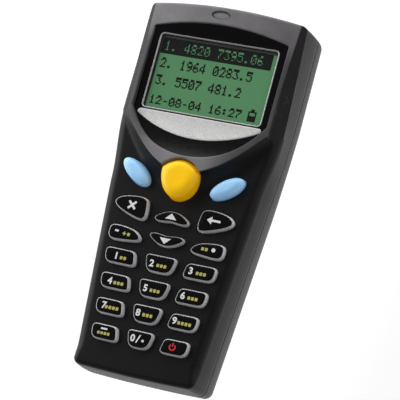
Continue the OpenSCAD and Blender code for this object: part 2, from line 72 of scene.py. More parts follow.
def material(name, base, rough=0.45, metal=0.0, var=0.12, grain=4200.0, bump=0.25, depth=0.02, blot=130.0,
             spec=0.5, coat=0.0, coat_rough=0.1, wear=0.0, wear_to=(0.3, 0.3, 0.3, 1), rough_var=0.08,
             sheen_zone=None, emit=None, emit_s=0.0, sss=0.0, aniso=0.0, speck=0.0, streak=None, trans=0.0, ior=1.5):
    """A moulded or coated surface: blotchy colour, fine grain in bump and roughness, worn edges."""
    m = bpy.data.materials.new(name)
    m.use_nodes = True
    nt = m.node_tree
    nt.nodes.clear()
    N, L = nt.nodes.new, nt.links.new
    out, sh = N("ShaderNodeOutputMaterial"), N("ShaderNodeBsdfPrincipled")
    L(sh.outputs[0], out.inputs[0])
    tc = N("ShaderNodeTexCoord")
    big = N("ShaderNodeTexNoise")
    big.inputs["Scale"].default_value, big.inputs["Detail"].default_value = blot, 4
    L(tc.outputs["Object"], big.inputs["Vector"])
    fine = N("ShaderNodeTexNoise")
    fine.inputs["Scale"].default_value, fine.inputs["Detail"].default_value = grain, 3
    if streak:
        mp = N("ShaderNodeMapping")
        mp.inputs["Scale"].default_value = streak
        L(tc.outputs["Object"], mp.inputs["Vector"])
        L(mp.outputs[0], fine.inputs["Vector"])
    else:
        L(tc.outputs["Object"], fine.inputs["Vector"])

    def mix(a, b, fac_socket=None, fac=0.5):
        n = N("ShaderNodeMix")
        n.data_type = "RGBA"
        n.inputs[0].default_value = fac
        if fac_socket is not None:
            L(fac_socket, n.inputs[0])
        for s, v in ((n.inputs[6], a), (n.inputs[7], b)):
            if isinstance(v, tuple):
                s.default_value = v
            else:
                L(v, s)
        return n.outputs[2]

    def ranged(sock, a0, a1, b0, b1):
        n = N("ShaderNodeMapRange")
        for i, v in enumerate((a0, a1, b0, b1)):
            n.inputs[i + 1].default_value = v
        L(sock, n.inputs[0])
        return n.outputs[0]

    dark = tuple(c * (1 - var) for c in base[:3]) + (1,)
    light = tuple(min(1, c * (1 + var)) for c in base[:3]) + (1,)
    col = mix(dark, light, ranged(big.outputs["Fac"], 0.3, 0.7, 0, 1))
    # the tone mixed in here by a point attribute is painted sheen on the shield round the display, not a second colour
    # of plastic
    if sheen_zone:
        at = N("ShaderNodeAttribute")
        at.attribute_name = sheen_zone[0]
        zc = mix(tuple(c * (1 - var) for c in sheen_zone[1][:3]) + (1,), tuple(c * (1 + var) for c in sheen_zone[1][:3]) + (1,),
                 ranged(big.outputs["Fac"], 0.3, 0.7, 0, 1))
        col = mix(col, zc, at.outputs["Fac"])
    if speck:
        sp = N("ShaderNodeTexNoise")
        sp.inputs["Scale"].default_value, sp.inputs["Detail"].default_value = grain * 0.8, 1
        L(tc.outputs["Object"], sp.inputs["Vector"])
        col = mix(col, tuple(min(1, c * (1 + 2.2 * speck)) for c in base[:3]) + (1,), ranged(sp.outputs["Fac"], 0.52, 0.72, 0, 1))
    if wear:
        ge = N("ShaderNodeNewGeometry")
        wn = ranged(ge.outputs["Pointiness"], 0.515, 0.60, 0, wear)
        mu = N("ShaderNodeMath")
        mu.operation = "MULTIPLY"
        L(wn, mu.inputs[0])
        L(ranged(big.outputs["Fac"], 0.35, 0.6, 0.2, 1), mu.inputs[1])
        col = mix(col, wear_to, mu.outputs[0])
    L(col, sh.inputs["Base Color"])
    L(ranged(fine.outputs["Fac"], 0.3, 0.7, max(0.02, rough - rough_var), min(1, rough + rough_var)), sh.inputs["Roughness"])
    bp = N("ShaderNodeBump")
    bp.inputs["Strength"].default_value, bp.inputs["Distance"].default_value = bump, depth * MM
    L(fine.outputs["Fac"], bp.inputs["Height"])
    L(bp.outputs[0], sh.inputs["Normal"])
    sh.inputs["Metallic"].default_value = metal
    sh.inputs["Specular IOR Level"].default_value = spec
    sh.inputs["IOR"].default_value = ior
    sh.inputs["Coat Weight"].default_value = coat
    sh.inputs["Coat Roughness"].default_value = coat_rough
    if trans:
        sh.inputs["Transmission Weight"].default_value = trans
    if sss:
        sh.inputs["Subsurface Weight"].default_value = sss
        sh.inputs["Subsurface Radius"].default_value = (0.0012, 0.0009, 0.0006)
        sh.inputs["Subsurface Scale"].default_value = 1.0
    # emission here is a painted glow that brightens the part, standing in for light
    if emit:
        sh.inputs["Emission Color"].default_value = emit
        sh.inputs["Emission Strength"].default_value = emit_s
    return m


def clear_material(name, tint=(1, 1, 1, 1), rough=0.05):
    m = bpy.data.materials.new(name)
    m.use_nodes = True
    nt = m.node_tree
    nt.nodes.clear()
    N, L = nt.nodes.new, nt.links.new
    out, mx, tr, gl = (N("ShaderNodeOutputMaterial"), N("ShaderNodeMixShader"), N("ShaderNodeBsdfTransparent"),
                       N("ShaderNodeBsdfGlossy"))
    tr.inputs["Color"].default_value = tint
    tc, no, rg = N("ShaderNodeTexCoord"), N("ShaderNodeTexNoise"), N("ShaderNodeMapRange")
    no.inputs["Scale"].default_value, no.inputs["Detail"].default_value = 260, 5
    L(tc.outputs["Object"], no.inputs["Vector"])
    for i, v in enumerate((0.35, 0.75, rough, rough + 0.12)):
        rg.inputs[i + 1].default_value = v
    L(no.outputs["Fac"], rg.inputs[0])
    L(rg.outputs[0], gl.inputs["Roughness"])
    gl.inputs["Color"].default_value = (0.9, 0.9, 0.9, 1)
    mx.inputs[0].default_value = 0.02
    L(tr.outputs[0], mx.inputs[1])
    L(gl.outputs[0], mx.inputs[2])
    L(mx.outputs[0], out.inputs[0])
    return m


# the lighter shield tone is painted sheen: the front cover is one black plastic, and the lighter band stands in for
# light falling on the raised shield
BLACK = material("keypad_plastic", lin(11, 10, 12), rough=0.45, var=0.14, grain=5200, bump=0.35, depth=0.03, spec=0.24,
                 wear=0.10, wear_to=lin(120), sheen_zone=("shield", lin(128, 125, 129)))
BACKP = material("back_plastic", lin(40, 39, 42), rough=0.5, var=0.14, grain=4200, bump=0.5, depth=0.05, spec=0.42,
                 wear=0.12, wear_to=lin(120))
GLOSS = material("gloss_black", lin(7, 6, 8), rough=0.17, rough_var=0.03, var=0.15, grain=900, bump=0.04, depth=0.01, spec=0.22)
SILVER = material("silver_trim", lin(195, 195, 194), rough=0.5, rough_var=0.06, metal=0.4, var=0.05, grain=7000, bump=0.6,
                  depth=0.02, speck=0.35)
FLANK = material("key_flank", lin(216, 215, 220), rough=0.45, var=0.08, grain=3800, bump=0.2, depth=0.02, sss=0.15)
RIM = material("key_rim", lin(205, 205, 210), rough=0.3, var=0.05, grain=3800, bump=0.15, depth=0.01, metal=0.35)
KEYTOP = material("key_top", lin(7, 6, 8), rough=0.27, rough_var=0.05, var=0.2, grain=3000, bump=0.06, depth=0.01,
                  spec=0.18)
# the emission on the yellow and blue keys is a painted glow that brightens them; they carry no lamp
YELLOW = material("scan_yellow", lin(255, 208, 0), rough=0.36, var=0.04, grain=2600, bump=0.15, depth=0.02, sss=0.25, spec=0.35,
                  emit=lin(255, 172, 0), emit_s=0.22)
BLUE = material("blue_key", lin(166, 214, 252), rough=0.36, var=0.04, grain=2600, bump=0.15, depth=0.02, sss=0.25, spec=0.4,
                emit=lin(140, 196, 246), emit_s=0.21)
WHITE_INK = material("white_ink", lin(240), rough=0.5, var=0.04, grain=6000, bump=0.2, depth=0.01)
YELLOW_INK = material("yellow_ink", lin(192, 186, 98), rough=0.5, var=0.05, grain=6000, bump=0.2, depth=0.01)
RED_INK = material("red_ink", lin(214, 34, 40), rough=0.5, var=0.05, grain=6000, bump=0.2, depth=0.01)
BORDER = material("lens_border", lin(66, 64, 66), rough=0.35, var=0.06, grain=3000, bump=0.1, depth=0.01)
LENS = clear_material("clear_lens")
# the pale metallic colour of the lens's bevel is a painted glint for light at the clear edge
EDGE = material("lens_edge_glint", lin(176, 178, 176), rough=0.34, rough_var=0.02, var=0.05, grain=900, bump=0.02, depth=0.003, metal=0.55)
# the picture's emission is a painted glow that keeps the recessed picture bright; the unit does carry a backlight
LCD = material("lcd_green", lin(72, 118, 80), rough=0.3, var=0.03, grain=9000, bump=0.05, depth=0.005,
               emit=lin(92, 150, 104), emit_s=0.3, spec=0.2)
DOTS = material("lcd_dots", lin(4, 7, 5), spec=0.1, rough=0.5, var=0.08, grain=9000, bump=0.05, depth=0.005)
STATUS = material("status_grey", lin(138, 136, 140), rough=0.3, var=0.06, grain=3000, bump=0.08, depth=0.01, coat=0.2)
RUBBER = material("mat_rubber", lin(86, 86, 90), rough=0.7, var=0.1, grain=2400, bump=0.3, depth=0.03)
SEAL = material("seal_rubber", lin(18), rough=0.75, var=0.1, grain=2400, bump=0.3, depth=0.03)
PCB = material("board_green", lin(22, 88, 48), rough=0.3, var=0.1, grain=1500, bump=0.2, depth=0.02, streak=(1, 6, 1))
ENGINE = material("engine_black", lin(38), rough=0.55, var=0.12, grain=3000, bump=0.4, depth=0.03)
REDWIN = material("red_window", lin(96, 10, 18), rough=0.08, rough_var=0.03, var=0.15, grain=700, bump=0.03, depth=0.01, coat=1.0, coat_rough=0.03)
DARKWIN = material("dark_window", lin(42, 12, 18), rough=0.26, rough_var=0.05, var=0.15, grain=700, bump=0.03, depth=0.01, spec=0.2)
CONN = material("connector", lin(226, 220, 200), rough=0.5, var=0.06, grain=3000, bump=0.2, depth=0.02)
FLEX = material("flex_film", lin(186, 118, 44), rough=0.3, var=0.08, grain=1500, bump=0.2, depth=0.01, streak=(1, 12, 1))
DIFF = material("diffuser", lin(230, 232, 226), rough=0.5, var=0.04, grain=1500, bump=0.1, depth=0.01)
STEEL = material("steel", lin(178, 178, 182), rough=0.3, rough_var=0.1, metal=1.0, var=0.1, grain=1500, bump=0.25, depth=0.01, streak=(8, 1, 1))
SCREW = material("screw_steel", lin(120, 120, 124), rough=0.34, rough_var=0.1, metal=1.0, var=0.12, grain=1800, bump=0.3, depth=0.01)
LATCH = material("latch_plastic", lin(136, 26, 20), rough=0.4, var=0.08, grain=3000, bump=0.25, depth=0.02)
LABEL = material("plain_label", lin(150, 150, 148), rough=0.55, var=0.05, grain=2600, bump=0.2, depth=0.01)
JACKET = material("cell_jacket", lin(40, 84, 138), rough=0.28, var=0.08, grain=600, bump=0.1, depth=0.01, metal=0.3)
BAND = material("cell_band", lin(200, 202, 204), rough=0.3, var=0.06, grain=600, bump=0.1, depth=0.01, metal=0.3)


# ------------------------------------------------------------- plan shapes
def lerp(a, b, t):
    return a + (b - a) * t


def sm(t):
    t = np.clip(t, 0, 1)
    return t * t * (3 - 2 * t)


W_PART = np.array([21.3, 26.15, 27.95, 28.0])
W_FACE = np.array([20.45, 25.45, 27.9, 26.7])
Z_EDGE = 22.4         # where the soft edge of the keypad face runs into the side wall


def half_w(y, w, s=0.0):
    """Half width at y; s = 1 gives the straighter line of the parting, 0 the waisted line of the face."""
    y = np.asarray(y, float)
    low = lerp(w[0], w[1], (y + 61) / 61)
    face = np.where(y < 0, low, np.where(y < 23, lerp(w[1], w[2], sm(y / 23)), lerp(w[2], w[3], (y - 23) / 38)))
    t = np.clip(y / 30, 0, 1)
    part = np.where(y < 0, low, np.where(y < 30, lerp(w[1], w[2], 1.5 * t - 0.5 * t * t), lerp(w[2], w[3], (y - 30) / 31)))
    return face + (part - face) * s


def both(h):
    return np.array(list(h) + [(-x, y) for x, y in reversed(h) if x > 1e-6])


def body_ring(w, d, ya, yb, ra=2.5, rb=1.6, ba=0.45, bb=-1.25, n_end=18, n_arc=10, n_side=110, s=0.0):
    w = [w[0] - d[0], w[1] - d[0], w[2] - d[1], w[3] - d[1]]
    ha, hb = float(half_w(ya + ra, w, s)), float(half_w(yb - rb, w, s))
    xa, xb = ha - ra, hb - rb
    ca, cb = ya + ra + ba * (xa / ha) ** 2, yb - rb + bb * (xb / hb) ** 2
    h = [(xa * i / n_end, ya + ba * (xa * i / n_end / ha) ** 2) for i in range(n_end)]
    h += [(xa + ra * math.cos(a), ca + ra * math.sin(a)) for a in np.linspace(-math.pi / 2, 0, n_arc + 1)]
    h += [(float(half_w(y, w, s)), y) for y in (lerp(ca, cb, i / n_side) for i in range(1, n_side))]
    h += [(xb + rb * math.cos(a), cb + rb * math.sin(a)) for a in np.linspace(0, math.pi / 2, n_arc + 1)]
    h += [(xb * i / n_end, yb + bb * (xb * i / n_end / hb) ** 2) for i in range(n_end - 1, -1, -1)]
    return both(h)


def front_ring(z, d=0.0, e0=0.0, e1=0.0):
    t = min(1, (z - 15) / 9)
    return body_ring(lerp(W_PART, W_FACE, t), [d, d], lerp(-61, -60.6, t) + e0, 61 - e1, s=1 - t)


def back_ring(z, d=0.0):
    t, th = min(1, max(0, (15 - z) / 15)), max(0, (12.5 - z) / 12.5)
    f, h = 9 * (1 - max(0, 1 - t ** 2.6) ** 0.385), 10 * (1 - math.sqrt(max(0, 1 - th * th)))
    return body_ring(W_PART, [f + d, h + d], -61 + 0.5 * f + d, 61 - 0.4 * h - d, s=1.0)


def inset(p, d):
    """The line moved inwards along its normals; short stretches that would turn back are closed up."""
    p = np.asarray(p, float)
    t = np.roll(p, -1, 0) - np.roll(p, 1, 0)
    t /= np.maximum(1e-9, np.linalg.norm(t, axis=1))[:, None]
    q = p - d * np.stack([t[:, 1], -t[:, 0]], 1)
    r = np.roll(p, -1, 0) - p
    for _ in range(40):
        e = np.roll(q, -1, 0) - q
        bad = np.nonzero((e * r).sum(1) < 0.05 * (r * r).sum(1))[0]
        if not len(bad):
            break
        for i in bad:
            j = (i + 1) % len(q)
            m = (q[i] + q[j]) / 2
            q[i], q[j] = m - 0.035 * r[i], m + 0.035 * r[i]
    return q


def soft(p, r, k=9):
    p = [np.array(q, float) for q in p]
    n, out = len(p), []
    for i in range(n):
        b, a, c = p[i], p[i - 1], p[(i + 1) % n]
        la, lc = np.linalg.norm(a - b), np.linalg.norm(c - b)
        s = min(r[i] if hasattr(r, "__len__") else r, 0.48 * la, 0.48 * lc)
        u, v = (a - b) / la, (c - b) / lc
        out += [b + u * s * (1 - j / (k - 1)) ** 2 + v * s * (j / (k - 1)) ** 2 for j in range(k)]
    return np.array(out)


def flip(p):
    return np.array([(-x, y) for x, y in np.asarray(p)[::-1]])


def resample(p, most):
    out, n = [], len(p)
    for i in range(n):
        a, b = np.asarray(p[i]), np.asarray(p[(i + 1) % n])
        k = max(1, int(math.ceil(np.linalg.norm(b - a) / most)))
        out += [a + (b - a) * j / k for j in range(k)]
    return np.array(out)


def even(p, step):
    """The closed line with points at equal steps along it."""
    p = np.asarray(p, float)
    q = np.concatenate([p, p[:1]])
    l = np.concatenate([[0], np.cumsum(np.linalg.norm(np.diff(q, axis=0), axis=1))])
    n = max(12, int(round(l[-1] / step)))
    t = np.linspace(0, l[-1], n, endpoint=False)
    return np.stack([np.interp(t, l, q[:, 0]), np.interp(t, l, q[:, 1])], 1)


def smooth_loop(p, rounds=2):
    """Rounds a closed loop that is already finely divided."""
    for _ in range(rounds):
        p = 0.25 * np.roll(p, 1, 0) + 0.5 * p + 0.25 * np.roll(p, -1, 0)
    return p


def rounded_rect(w, l, r, cx=0.0, cy=37.5, k=8, most=0.8):
    out = []
    for sx, sy, a0 in ((1, -1, -90), (1, 1, 0), (-1, 1, 90), (-1, -1, 180)):
        for j in range(k + 1):
            a = math.radians(a0 + 90 * j / k)
            out.append((cx + sx * (w / 2 - r) + r * math.cos(a), cy + sy * (l / 2 - r) + r * math.sin(a)))
    return resample(np.array(out), most)


def ellipse(w, h, cx=0.0, cy=58.0, n=44):
    return np.array([(cx + w / 2 * math.cos(t), cy + h / 2 * math.sin(t)) for t in np.linspace(0, 2 * math.pi, n, endpoint=False)])


def inside(pts, poly):
    pts = np.asarray(pts)
    x, y = pts[:, 0], pts[:, 1]
    lo, hi = poly.min(0), poly.max(0)
    near = (x > lo[0]) & (x < hi[0]) & (y > lo[1]) & (y < hi[1])
    hit = np.zeros(len(pts), bool)
    px, py = x[near], y[near]
    r = np.zeros(len(px), bool)
    for (x1, y1), (x2, y2) in zip(poly, np.roll(poly, -1, 0)):
        if y1 == y2:
            continue
        c = (y1 > py) != (y2 > py)
        r ^= c & (px < (x2 - x1) * (py - y1) / (y2 - y1) + x1)
    hit[near] = r
    return hit


def distance(pts, poly):
    """Distance from each point to the closed line."""
    pts = np.asarray(pts, float)
    best = np.full(len(pts), 1e9)
    for a, b in zip(poly, np.roll(poly, -1, 0)):
        ab = b - a
        l2 = ab @ ab
        if l2 < 1e-12:
            continue
        t = np.clip(((pts - a) @ ab) / l2, 0, 1)
        q = pts - (a + t[:, None] * ab)
        best = np.minimum(best, (q * q).sum(1))
    return np.sqrt(best)


# ------------------------------------------------------------ mesh builder
class Build:
    def __init__(self):
        self.v, self.f, self.m = [], [], []

    def add(self, p, z=None):
        i = len(self.v)
        if z is None:
            self.v += [tuple(map(float, q)) for q in p]
        else:
            zz = np.broadcast_to(z, len(p))
            self.v += [(float(q[0]), float(q[1]), float(h)) for q, h in zip(p, zz)]
        return list(range(i, len(self.v)))

    def strip(self, a, b, m=0):
        n = len(a)
        for i in range(n):
            j = (i + 1) % n
            self.f.append((a[i], a[j], b[j], b[i]))
            self.m.append(m)

    def fill(self, loops, inner=(), zf=None, up=True, m=0):
        if len(loops) == 1 and zf is None and len(inner) == 0:
            self.f.append(tuple(loops[0] if up else loops[0][::-1]))
            self.m.append(m)
            return
        idx = [i for l in loops for i in l]
        co, edges, k = [self.v[i][:2] for i in idx], [], 0
        polys = []
        for l in loops:
            n = len(l)
            edges += [(k + i, k + (i + 1) % n) for i in range(n)]
            polys.append(np.array(co[k:k + n]))
            k += n
        pts = co + [tuple(p) for p in inner]
        vv, _, ff, ov = delaunay_2d_cdt([Vector(p) for p in pts], edges, [], 0, 1e-7, True)[:4]
        new = {}
        for i, o in enumerate(ov):
            src = [q for q in o if q < len(idx)]
            if src:
                new[i] = idx[src[0]]
        rest = [i for i in range(len(vv)) if i not in new]
        at = np.array([(vv[i].x, vv[i].y) for i in rest]).reshape(-1, 2)
        z = zf(at) if (zf is not None and len(at)) else np.full(len(at), self.v[idx[0]][2])
        for i, j in zip(rest, self.add(at, z)):
            new[i] = j
        tri = np.array([tuple(f) for f in ff if len(f) == 3])
        xy = np.array([(q.x, q.y) for q in vv])
        c = xy[tri].mean(1)
        keep = inside(c, polys[0])
        for p in polys[1:]:
            keep &= ~inside(c, p)
        # a face along a loop is kept or dropped by the side of the loop it lies on
        side = {}
        for k, (l, p) in enumerate(zip(loops, polys)):
            q = np.roll(p, -1, 0)
            s = (1 if (p[:, 0] * q[:, 1] - q[:, 0] * p[:, 1]).sum() > 0 else -1) * (1 if k == 0 else -1)
            for i in range(len(l)):
                j = (i + 1) % len(l)
                side[(l[i], l[j])], side[(l[j], l[i])] = s > 0, s < 0
        for t, ok in zip(tri, keep):
            t = [new[int(q)] for q in t]
            if len(set(t)) < 3:
                continue
            on = [side[e] for e in ((t[0], t[1]), (t[1], t[2]), (t[2], t[0])) if e in side]
            if not (on[0] if on else ok):
                continue
            self.f.append(tuple(t if up else t[::-1]))
            self.m.append(m)

    def tube(self, cx, cy, r0, r1, z0, z1, n=28, m=0):
        """A closed post with a bore."""
        a = np.linspace(0, 2 * math.pi, n, endpoint=False)
        c = np.stack([np.cos(a), np.sin(a)], 1)
        o0, o1 = self.add(c * r1 + (cx, cy), z0), self.add(c * r1 + (cx, cy), z1)
        self.strip(o0, o1, m)
        if r0 > 0:
            i0, i1 = self.add(c * r0 + (cx, cy), z0), self.add(c * r0 + (cx, cy), z1)
            self.strip(i1, i0, m)
            self.strip(i0, o0, m)
            self.strip(o1, i1, m)
        else:
            for l, flipped in ((o0, True), (o1, False)):
                self.f.append(tuple(reversed(l)) if flipped else tuple(l))
                self.m.append(m)

    def mesh(self, name):
        me = bpy.data.meshes.new(name)
        me.from_pydata((np.array(self.v) * MM).tolist(), [], self.f)
        me.polygons.foreach_set("material_index", np.array(self.m, np.int32))
        me.update()
        bm = bmesh.new()
        bm.from_mesh(me)
        bmesh.ops.delete(bm, geom=[v for v in bm.verts if not v.link_faces], context="VERTS")
        bmesh.ops.recalc_face_normals(bm, faces=bm.faces[:])
        bm.to_mesh(me)
        bm.free()
        return me


def piece(name, me, mats, body, nodes=(), angle=35):
    for m in mats:
        me.materials.append(m)
    o = bpy.data.objects.new(name, me)
    SCENE.collection.objects.link(o)
    me.shade_smooth()
    if angle is not None:
        me.set_sharp_from_angle(angle=math.radians(angle))
    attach(o, body)
    if nodes:
        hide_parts(*nodes)
    return o


def cut(me, cutters, op="DIFFERENCE"):
    """The mesh with each closed cutter mesh taken away."""
    o = bpy.data.objects.new("tmp_cut", me)
    SCENE.collection.objects.link(o)
    made = []
    for c in cutters:
        k = bpy.data.objects.new("tmp_cutter", c)
        SCENE.collection.objects.link(k)
        k.hide_render = True
        b = o.modifiers.new("b", "BOOLEAN")
        b.operation, b.solver, b.object = op, "MANIFOLD", k
        made.append(k)
    bpy.context.view_layer.update()
    new = bpy.data.meshes.new_from_object(o.evaluated_get(bpy.context.evaluated_depsgraph_get()))
    for k in made + [o]:
        bpy.data.objects.remove(k)
    new.materials.clear()
    new.polygons.foreach_set("material_index", np.zeros(len(new.polygons), np.int32))
    return new


def prism_mesh(p, z0, z1, axis="Z", bevel=0.0):
    """A closed prism of outline p; bevel slopes its top and bottom edges."""
    b = Build()
    if bevel:
        ls = [b.add(inset(p, bevel), z0), b.add(p, z0 + bevel), b.add(p, z1 - bevel), b.add(inset(p, bevel), z1)]
    else:
        ls = [b.add(p, z0), b.add(p, z1)]
    for u, v in zip(ls, ls[1:]):
        b.strip(u, v)
    b.fill([ls[0]], up=False)
    b.fill([ls[-1]], up=True)
    if axis == "Y":      # plan (x, y) -> (x, z), height -> -y
        b.v = [(x, -z, y) for x, y, z in b.v]
    if axis == "X":      # plan (x, y) -> (y, z), height -> x
        b.v = [(z, x, y) for x, y, z in b.v]
    return b.mesh("prism")


# -------------------------------------------------------------- key plans
def row_y(i):
    return -48.9 + 8.17 * i


MID_HW, OUT_A, OUT_B = [4.7, 5.15, 5.4, 5.55], [6.85, 7.2, 7.45, 7.75], [16.6, 17.45, 18.2, 19.05]
OUTER_X = [11.6, 12.3, 12.8, 13.3]


def round_off(p, rounds=5, most=0.3):
    return smooth_loop(resample(p, most), rounds)


def chaikin(p, rounds=3):
    p = np.asarray(p, float)
    for _ in range(rounds):
        q = np.roll(p, -1, 0)
        p = np.stack([0.75 * p + 0.25 * q, 0.25 * p + 0.75 * q], 1).reshape(-1, 2)
    return p


def digit_mid(i):
    h, w = 2.9, MID_HW[i] - 0.05
    return round_off(soft([(-w + 1.25, -h), (w - 1.25, -h), (w, h), (-w, h)], [2.4, 2.4, 1.5, 1.5])) + (0, row_y(i))


def digit_out(i):
    h, a, b = 2.6, OUT_A[i] + 0.1, OUT_B[i] + 0.15
    return round_off(soft([(a, -h), (b - 0.5, -h + 0.05), (b, h), (a + 1.1, h - 0.1)], [1.8, 2.3, 1.8, 1.5])) + (0, row_y(i))


ESCAPE = chaikin([(8.65, -9.9), (9.1, -11.5), (10.7, -11.9), (14.1, -11.0), (17.6, -9.75), (20.0, -8.4), (20.6, -6.9), (19.3, -5.4),
                  (17.0, -4.6), (13.8, -4.15), (10.7, -4.2), (9.3, -5.0), (8.8, -7.4)])
DOT = chaikin([(8.35, -17.9), (9.1, -16.5), (11.0, -15.15), (14.2, -14.5), (17.9, -14.25), (19.6, -14.8), (20.0, -16.8), (19.5, -19.0),
               (17.5, -19.6), (13.0, -19.25), (9.4, -18.9)])[::-1]
UP = chaikin([(-4.9, -10.98), (-2.6, -10.95), (0, -10.5), (2.6, -10.95), (4.9, -10.98), (5.95, -10.3), (5.75, -9.35), (4.4, -8.4),
              (2.6, -7.4), (0, -6.85), (-2.6, -7.4), (-4.4, -8.4), (-5.75, -9.35), (-5.95, -10.3)])
DOWN = np.array([(x, -25.6 - y) for x, y in UP[::-1]])


def blue_plan(shift=0.0):
    c, s = math.cos(math.radians(35)), math.sin(math.radians(35))
    return np.array([(15.6 + shift + 5.95 * math.cos(t) * c - 2.75 * math.sin(t) * s, 3.45 + 5.95 * math.cos(t) * s + 2.75 * math.sin(t) * c)
                     for t in np.linspace(0, 2 * math.pi, 64, endpoint=False)])


SCAN = np.array([(6.55 * math.cos(t), 6.1 + 9.35 * math.sin(t)) for t in np.radians(np.linspace(-90, 0, 19))]
                + [(x, 9.35 - 2.6 * (x / 6.0) ** 2) for x in np.linspace(6.0, -6.0, 21)]
                + [(6.55 * math.cos(t), 6.1 + 9.35 * math.sin(t)) for t in np.radians(np.linspace(180, 270, 19)[:-1])])
SCAN = smooth_loop(resample(SCAN, 0.4), 5) + (-0.45, 0.05)
# name of the node -> (outline, stem centre, kind)
KEYS = {"key_scan": (SCAN, (0, 3.8), "scan"),
        "key_left": (flip(blue_plan(0.45)), (-15.6, 3.4), "blue"), "key_right": (blue_plan(-0.4), (15.6, 3.4), "blue"),
        "key_escape": (flip(ESCAPE), (-13.6, -8), "flat"), "key_backspace": (ESCAPE, (13.6, -8), "flat"),
        "key_up": (UP, (0, -8.6), "thin"), "key_down": (DOWN, (0, -17), "thin"),
        "key_minus": (flip(DOT), (-14.6, -16.7), "flat"), "key_dot": (DOT, (14.6, -16.7), "flat")}
for _i, _names in enumerate((("key_fn", "key_0", "key_power"), ("key_7", "key_8", "key_9"),
                             ("key_4", "key_5", "key_6"), ("key_1", "key_2", "key_3"))):
    KEYS[_names[0]] = (flip(digit_out(_i)), (-OUTER_X[_i], row_y(_i)), "flat")
    KEYS[_names[1]] = (digit_mid(_i), (0, row_y(_i)), "flat")
    KEYS[_names[2]] = (digit_out(_i), (OUTER_X[_i], row_y(_i)), "flat")
KEYS = {k: (even(p, 0.5), s, t) for k, (p, s, t) in KEYS.items()}


# ------------------------------------------------------- front cover's form
def smin(a, b, k):
    h = np.maximum(k - np.abs(a - b), 0) / k
    return np.minimum(a, b) - h * h * k / 4


def smax(a, b, k):
    return -smin(-a, -b, k)


def crown(x, y):
    return 6.45 - 0.0314 * (y + 20) - x * x / 240


def v_low(x):
    s = np.maximum(0, np.abs(x) - 6)
    return 6 + 0.47 * s + 0.0248 * s * s


def v_rim(x):
    return 10.4 + 0.0175 * x * x + 1.7e-5 * x ** 4


def sweep(x, y):
    """The shield's foot: a short crisp step, then a long soft run-out over the keypad face."""
    d = (v_low(x) - y) / (1 - 0.35 * np.minimum(np.abs(x) / 24.6, 1))
    t = np.clip(1 - d / 7.6, 0, 1)
    return np.where(d < 0, 5.2 - 1.574 * d, 3.9 * t ** 1.9 + 1.3 * (1 - sm(d / 0.6)))


def side_x(y):
    return 24.4 + 0.75 * sm((y - 36) / 22)


def side_fall(x, y):
    dl = side_x(y) - np.abs(x)
    return 1.45 + 1.05 * dl + 5.0 * np.maximum(0, dl)


def shell_z(x, y, d):
    """Height above the keypad face, d = distance from the outline."""
    x, y, d = np.broadcast_arrays(*map(lambda q: np.asarray(q, float), (x, y, d)))
    k = sm((y + 60) / 7)
    tall, wide = lerp(1.6, ZK - Z_EDGE, k), lerp(1.6, 3.2, k)
    c = np.clip(1 - d / wide, 0, 1)
    edge = tall * (np.sqrt(np.maximum(0, 1 - c * c)) - 1)
    c = np.clip(0.8 - d, 0, 0.8)
    top = crown(x, y) - 0.8 + np.sqrt(np.maximum(0, 0.64 - c * c))
    shield = smin(smin(top, side_fall(x, y), 0.7), sweep(x, y), 0.45)
    shield = np.where(sweep(x, y) <= 0, -9, shield)
    far = (np.abs(x) > 24) & (y > 20)
    return np.where(far, smax(edge, shield, 0.3), np.maximum(edge, shield))


def recess_plan(d=0.0):
    hx = 23.15 - d
    yr, yt = float(v_rim(hx)) + d, 55.1 - d - 0.0055 * hx * hx
    h = [(x, float(v_rim(x)) + d) for x in np.linspace(0, hx, 46)]
    h += [(hx, y) for y in np.linspace(yr, yt, 44)[1:-1]]
    h += [(x, 55.1 - d - 0.0055 * x * x) for x in np.linspace(hx, 0, 46)]
    p = both(h)
    return smooth_loop(resample(p, 0.6), 1)


F24 = front_ring(Z_EDGE)     # plan of the soft edge's outer limit


def edge_d(p):
    p = np.asarray(p, float)
    d = np.full(len(p), 9.0)
    near = (np.abs(p[:, 0]) > half_w(p[:, 1], W_FACE) - 4.6) | (np.abs(p[:, 1]) > 55)
    if near.any():
        d[near] = distance(p[near], F24)
    return d


def surf(p):
    p = np.asarray(p, float)
    return ZK + shell_z(p[:, 0], p[:, 1], edge_d(p))


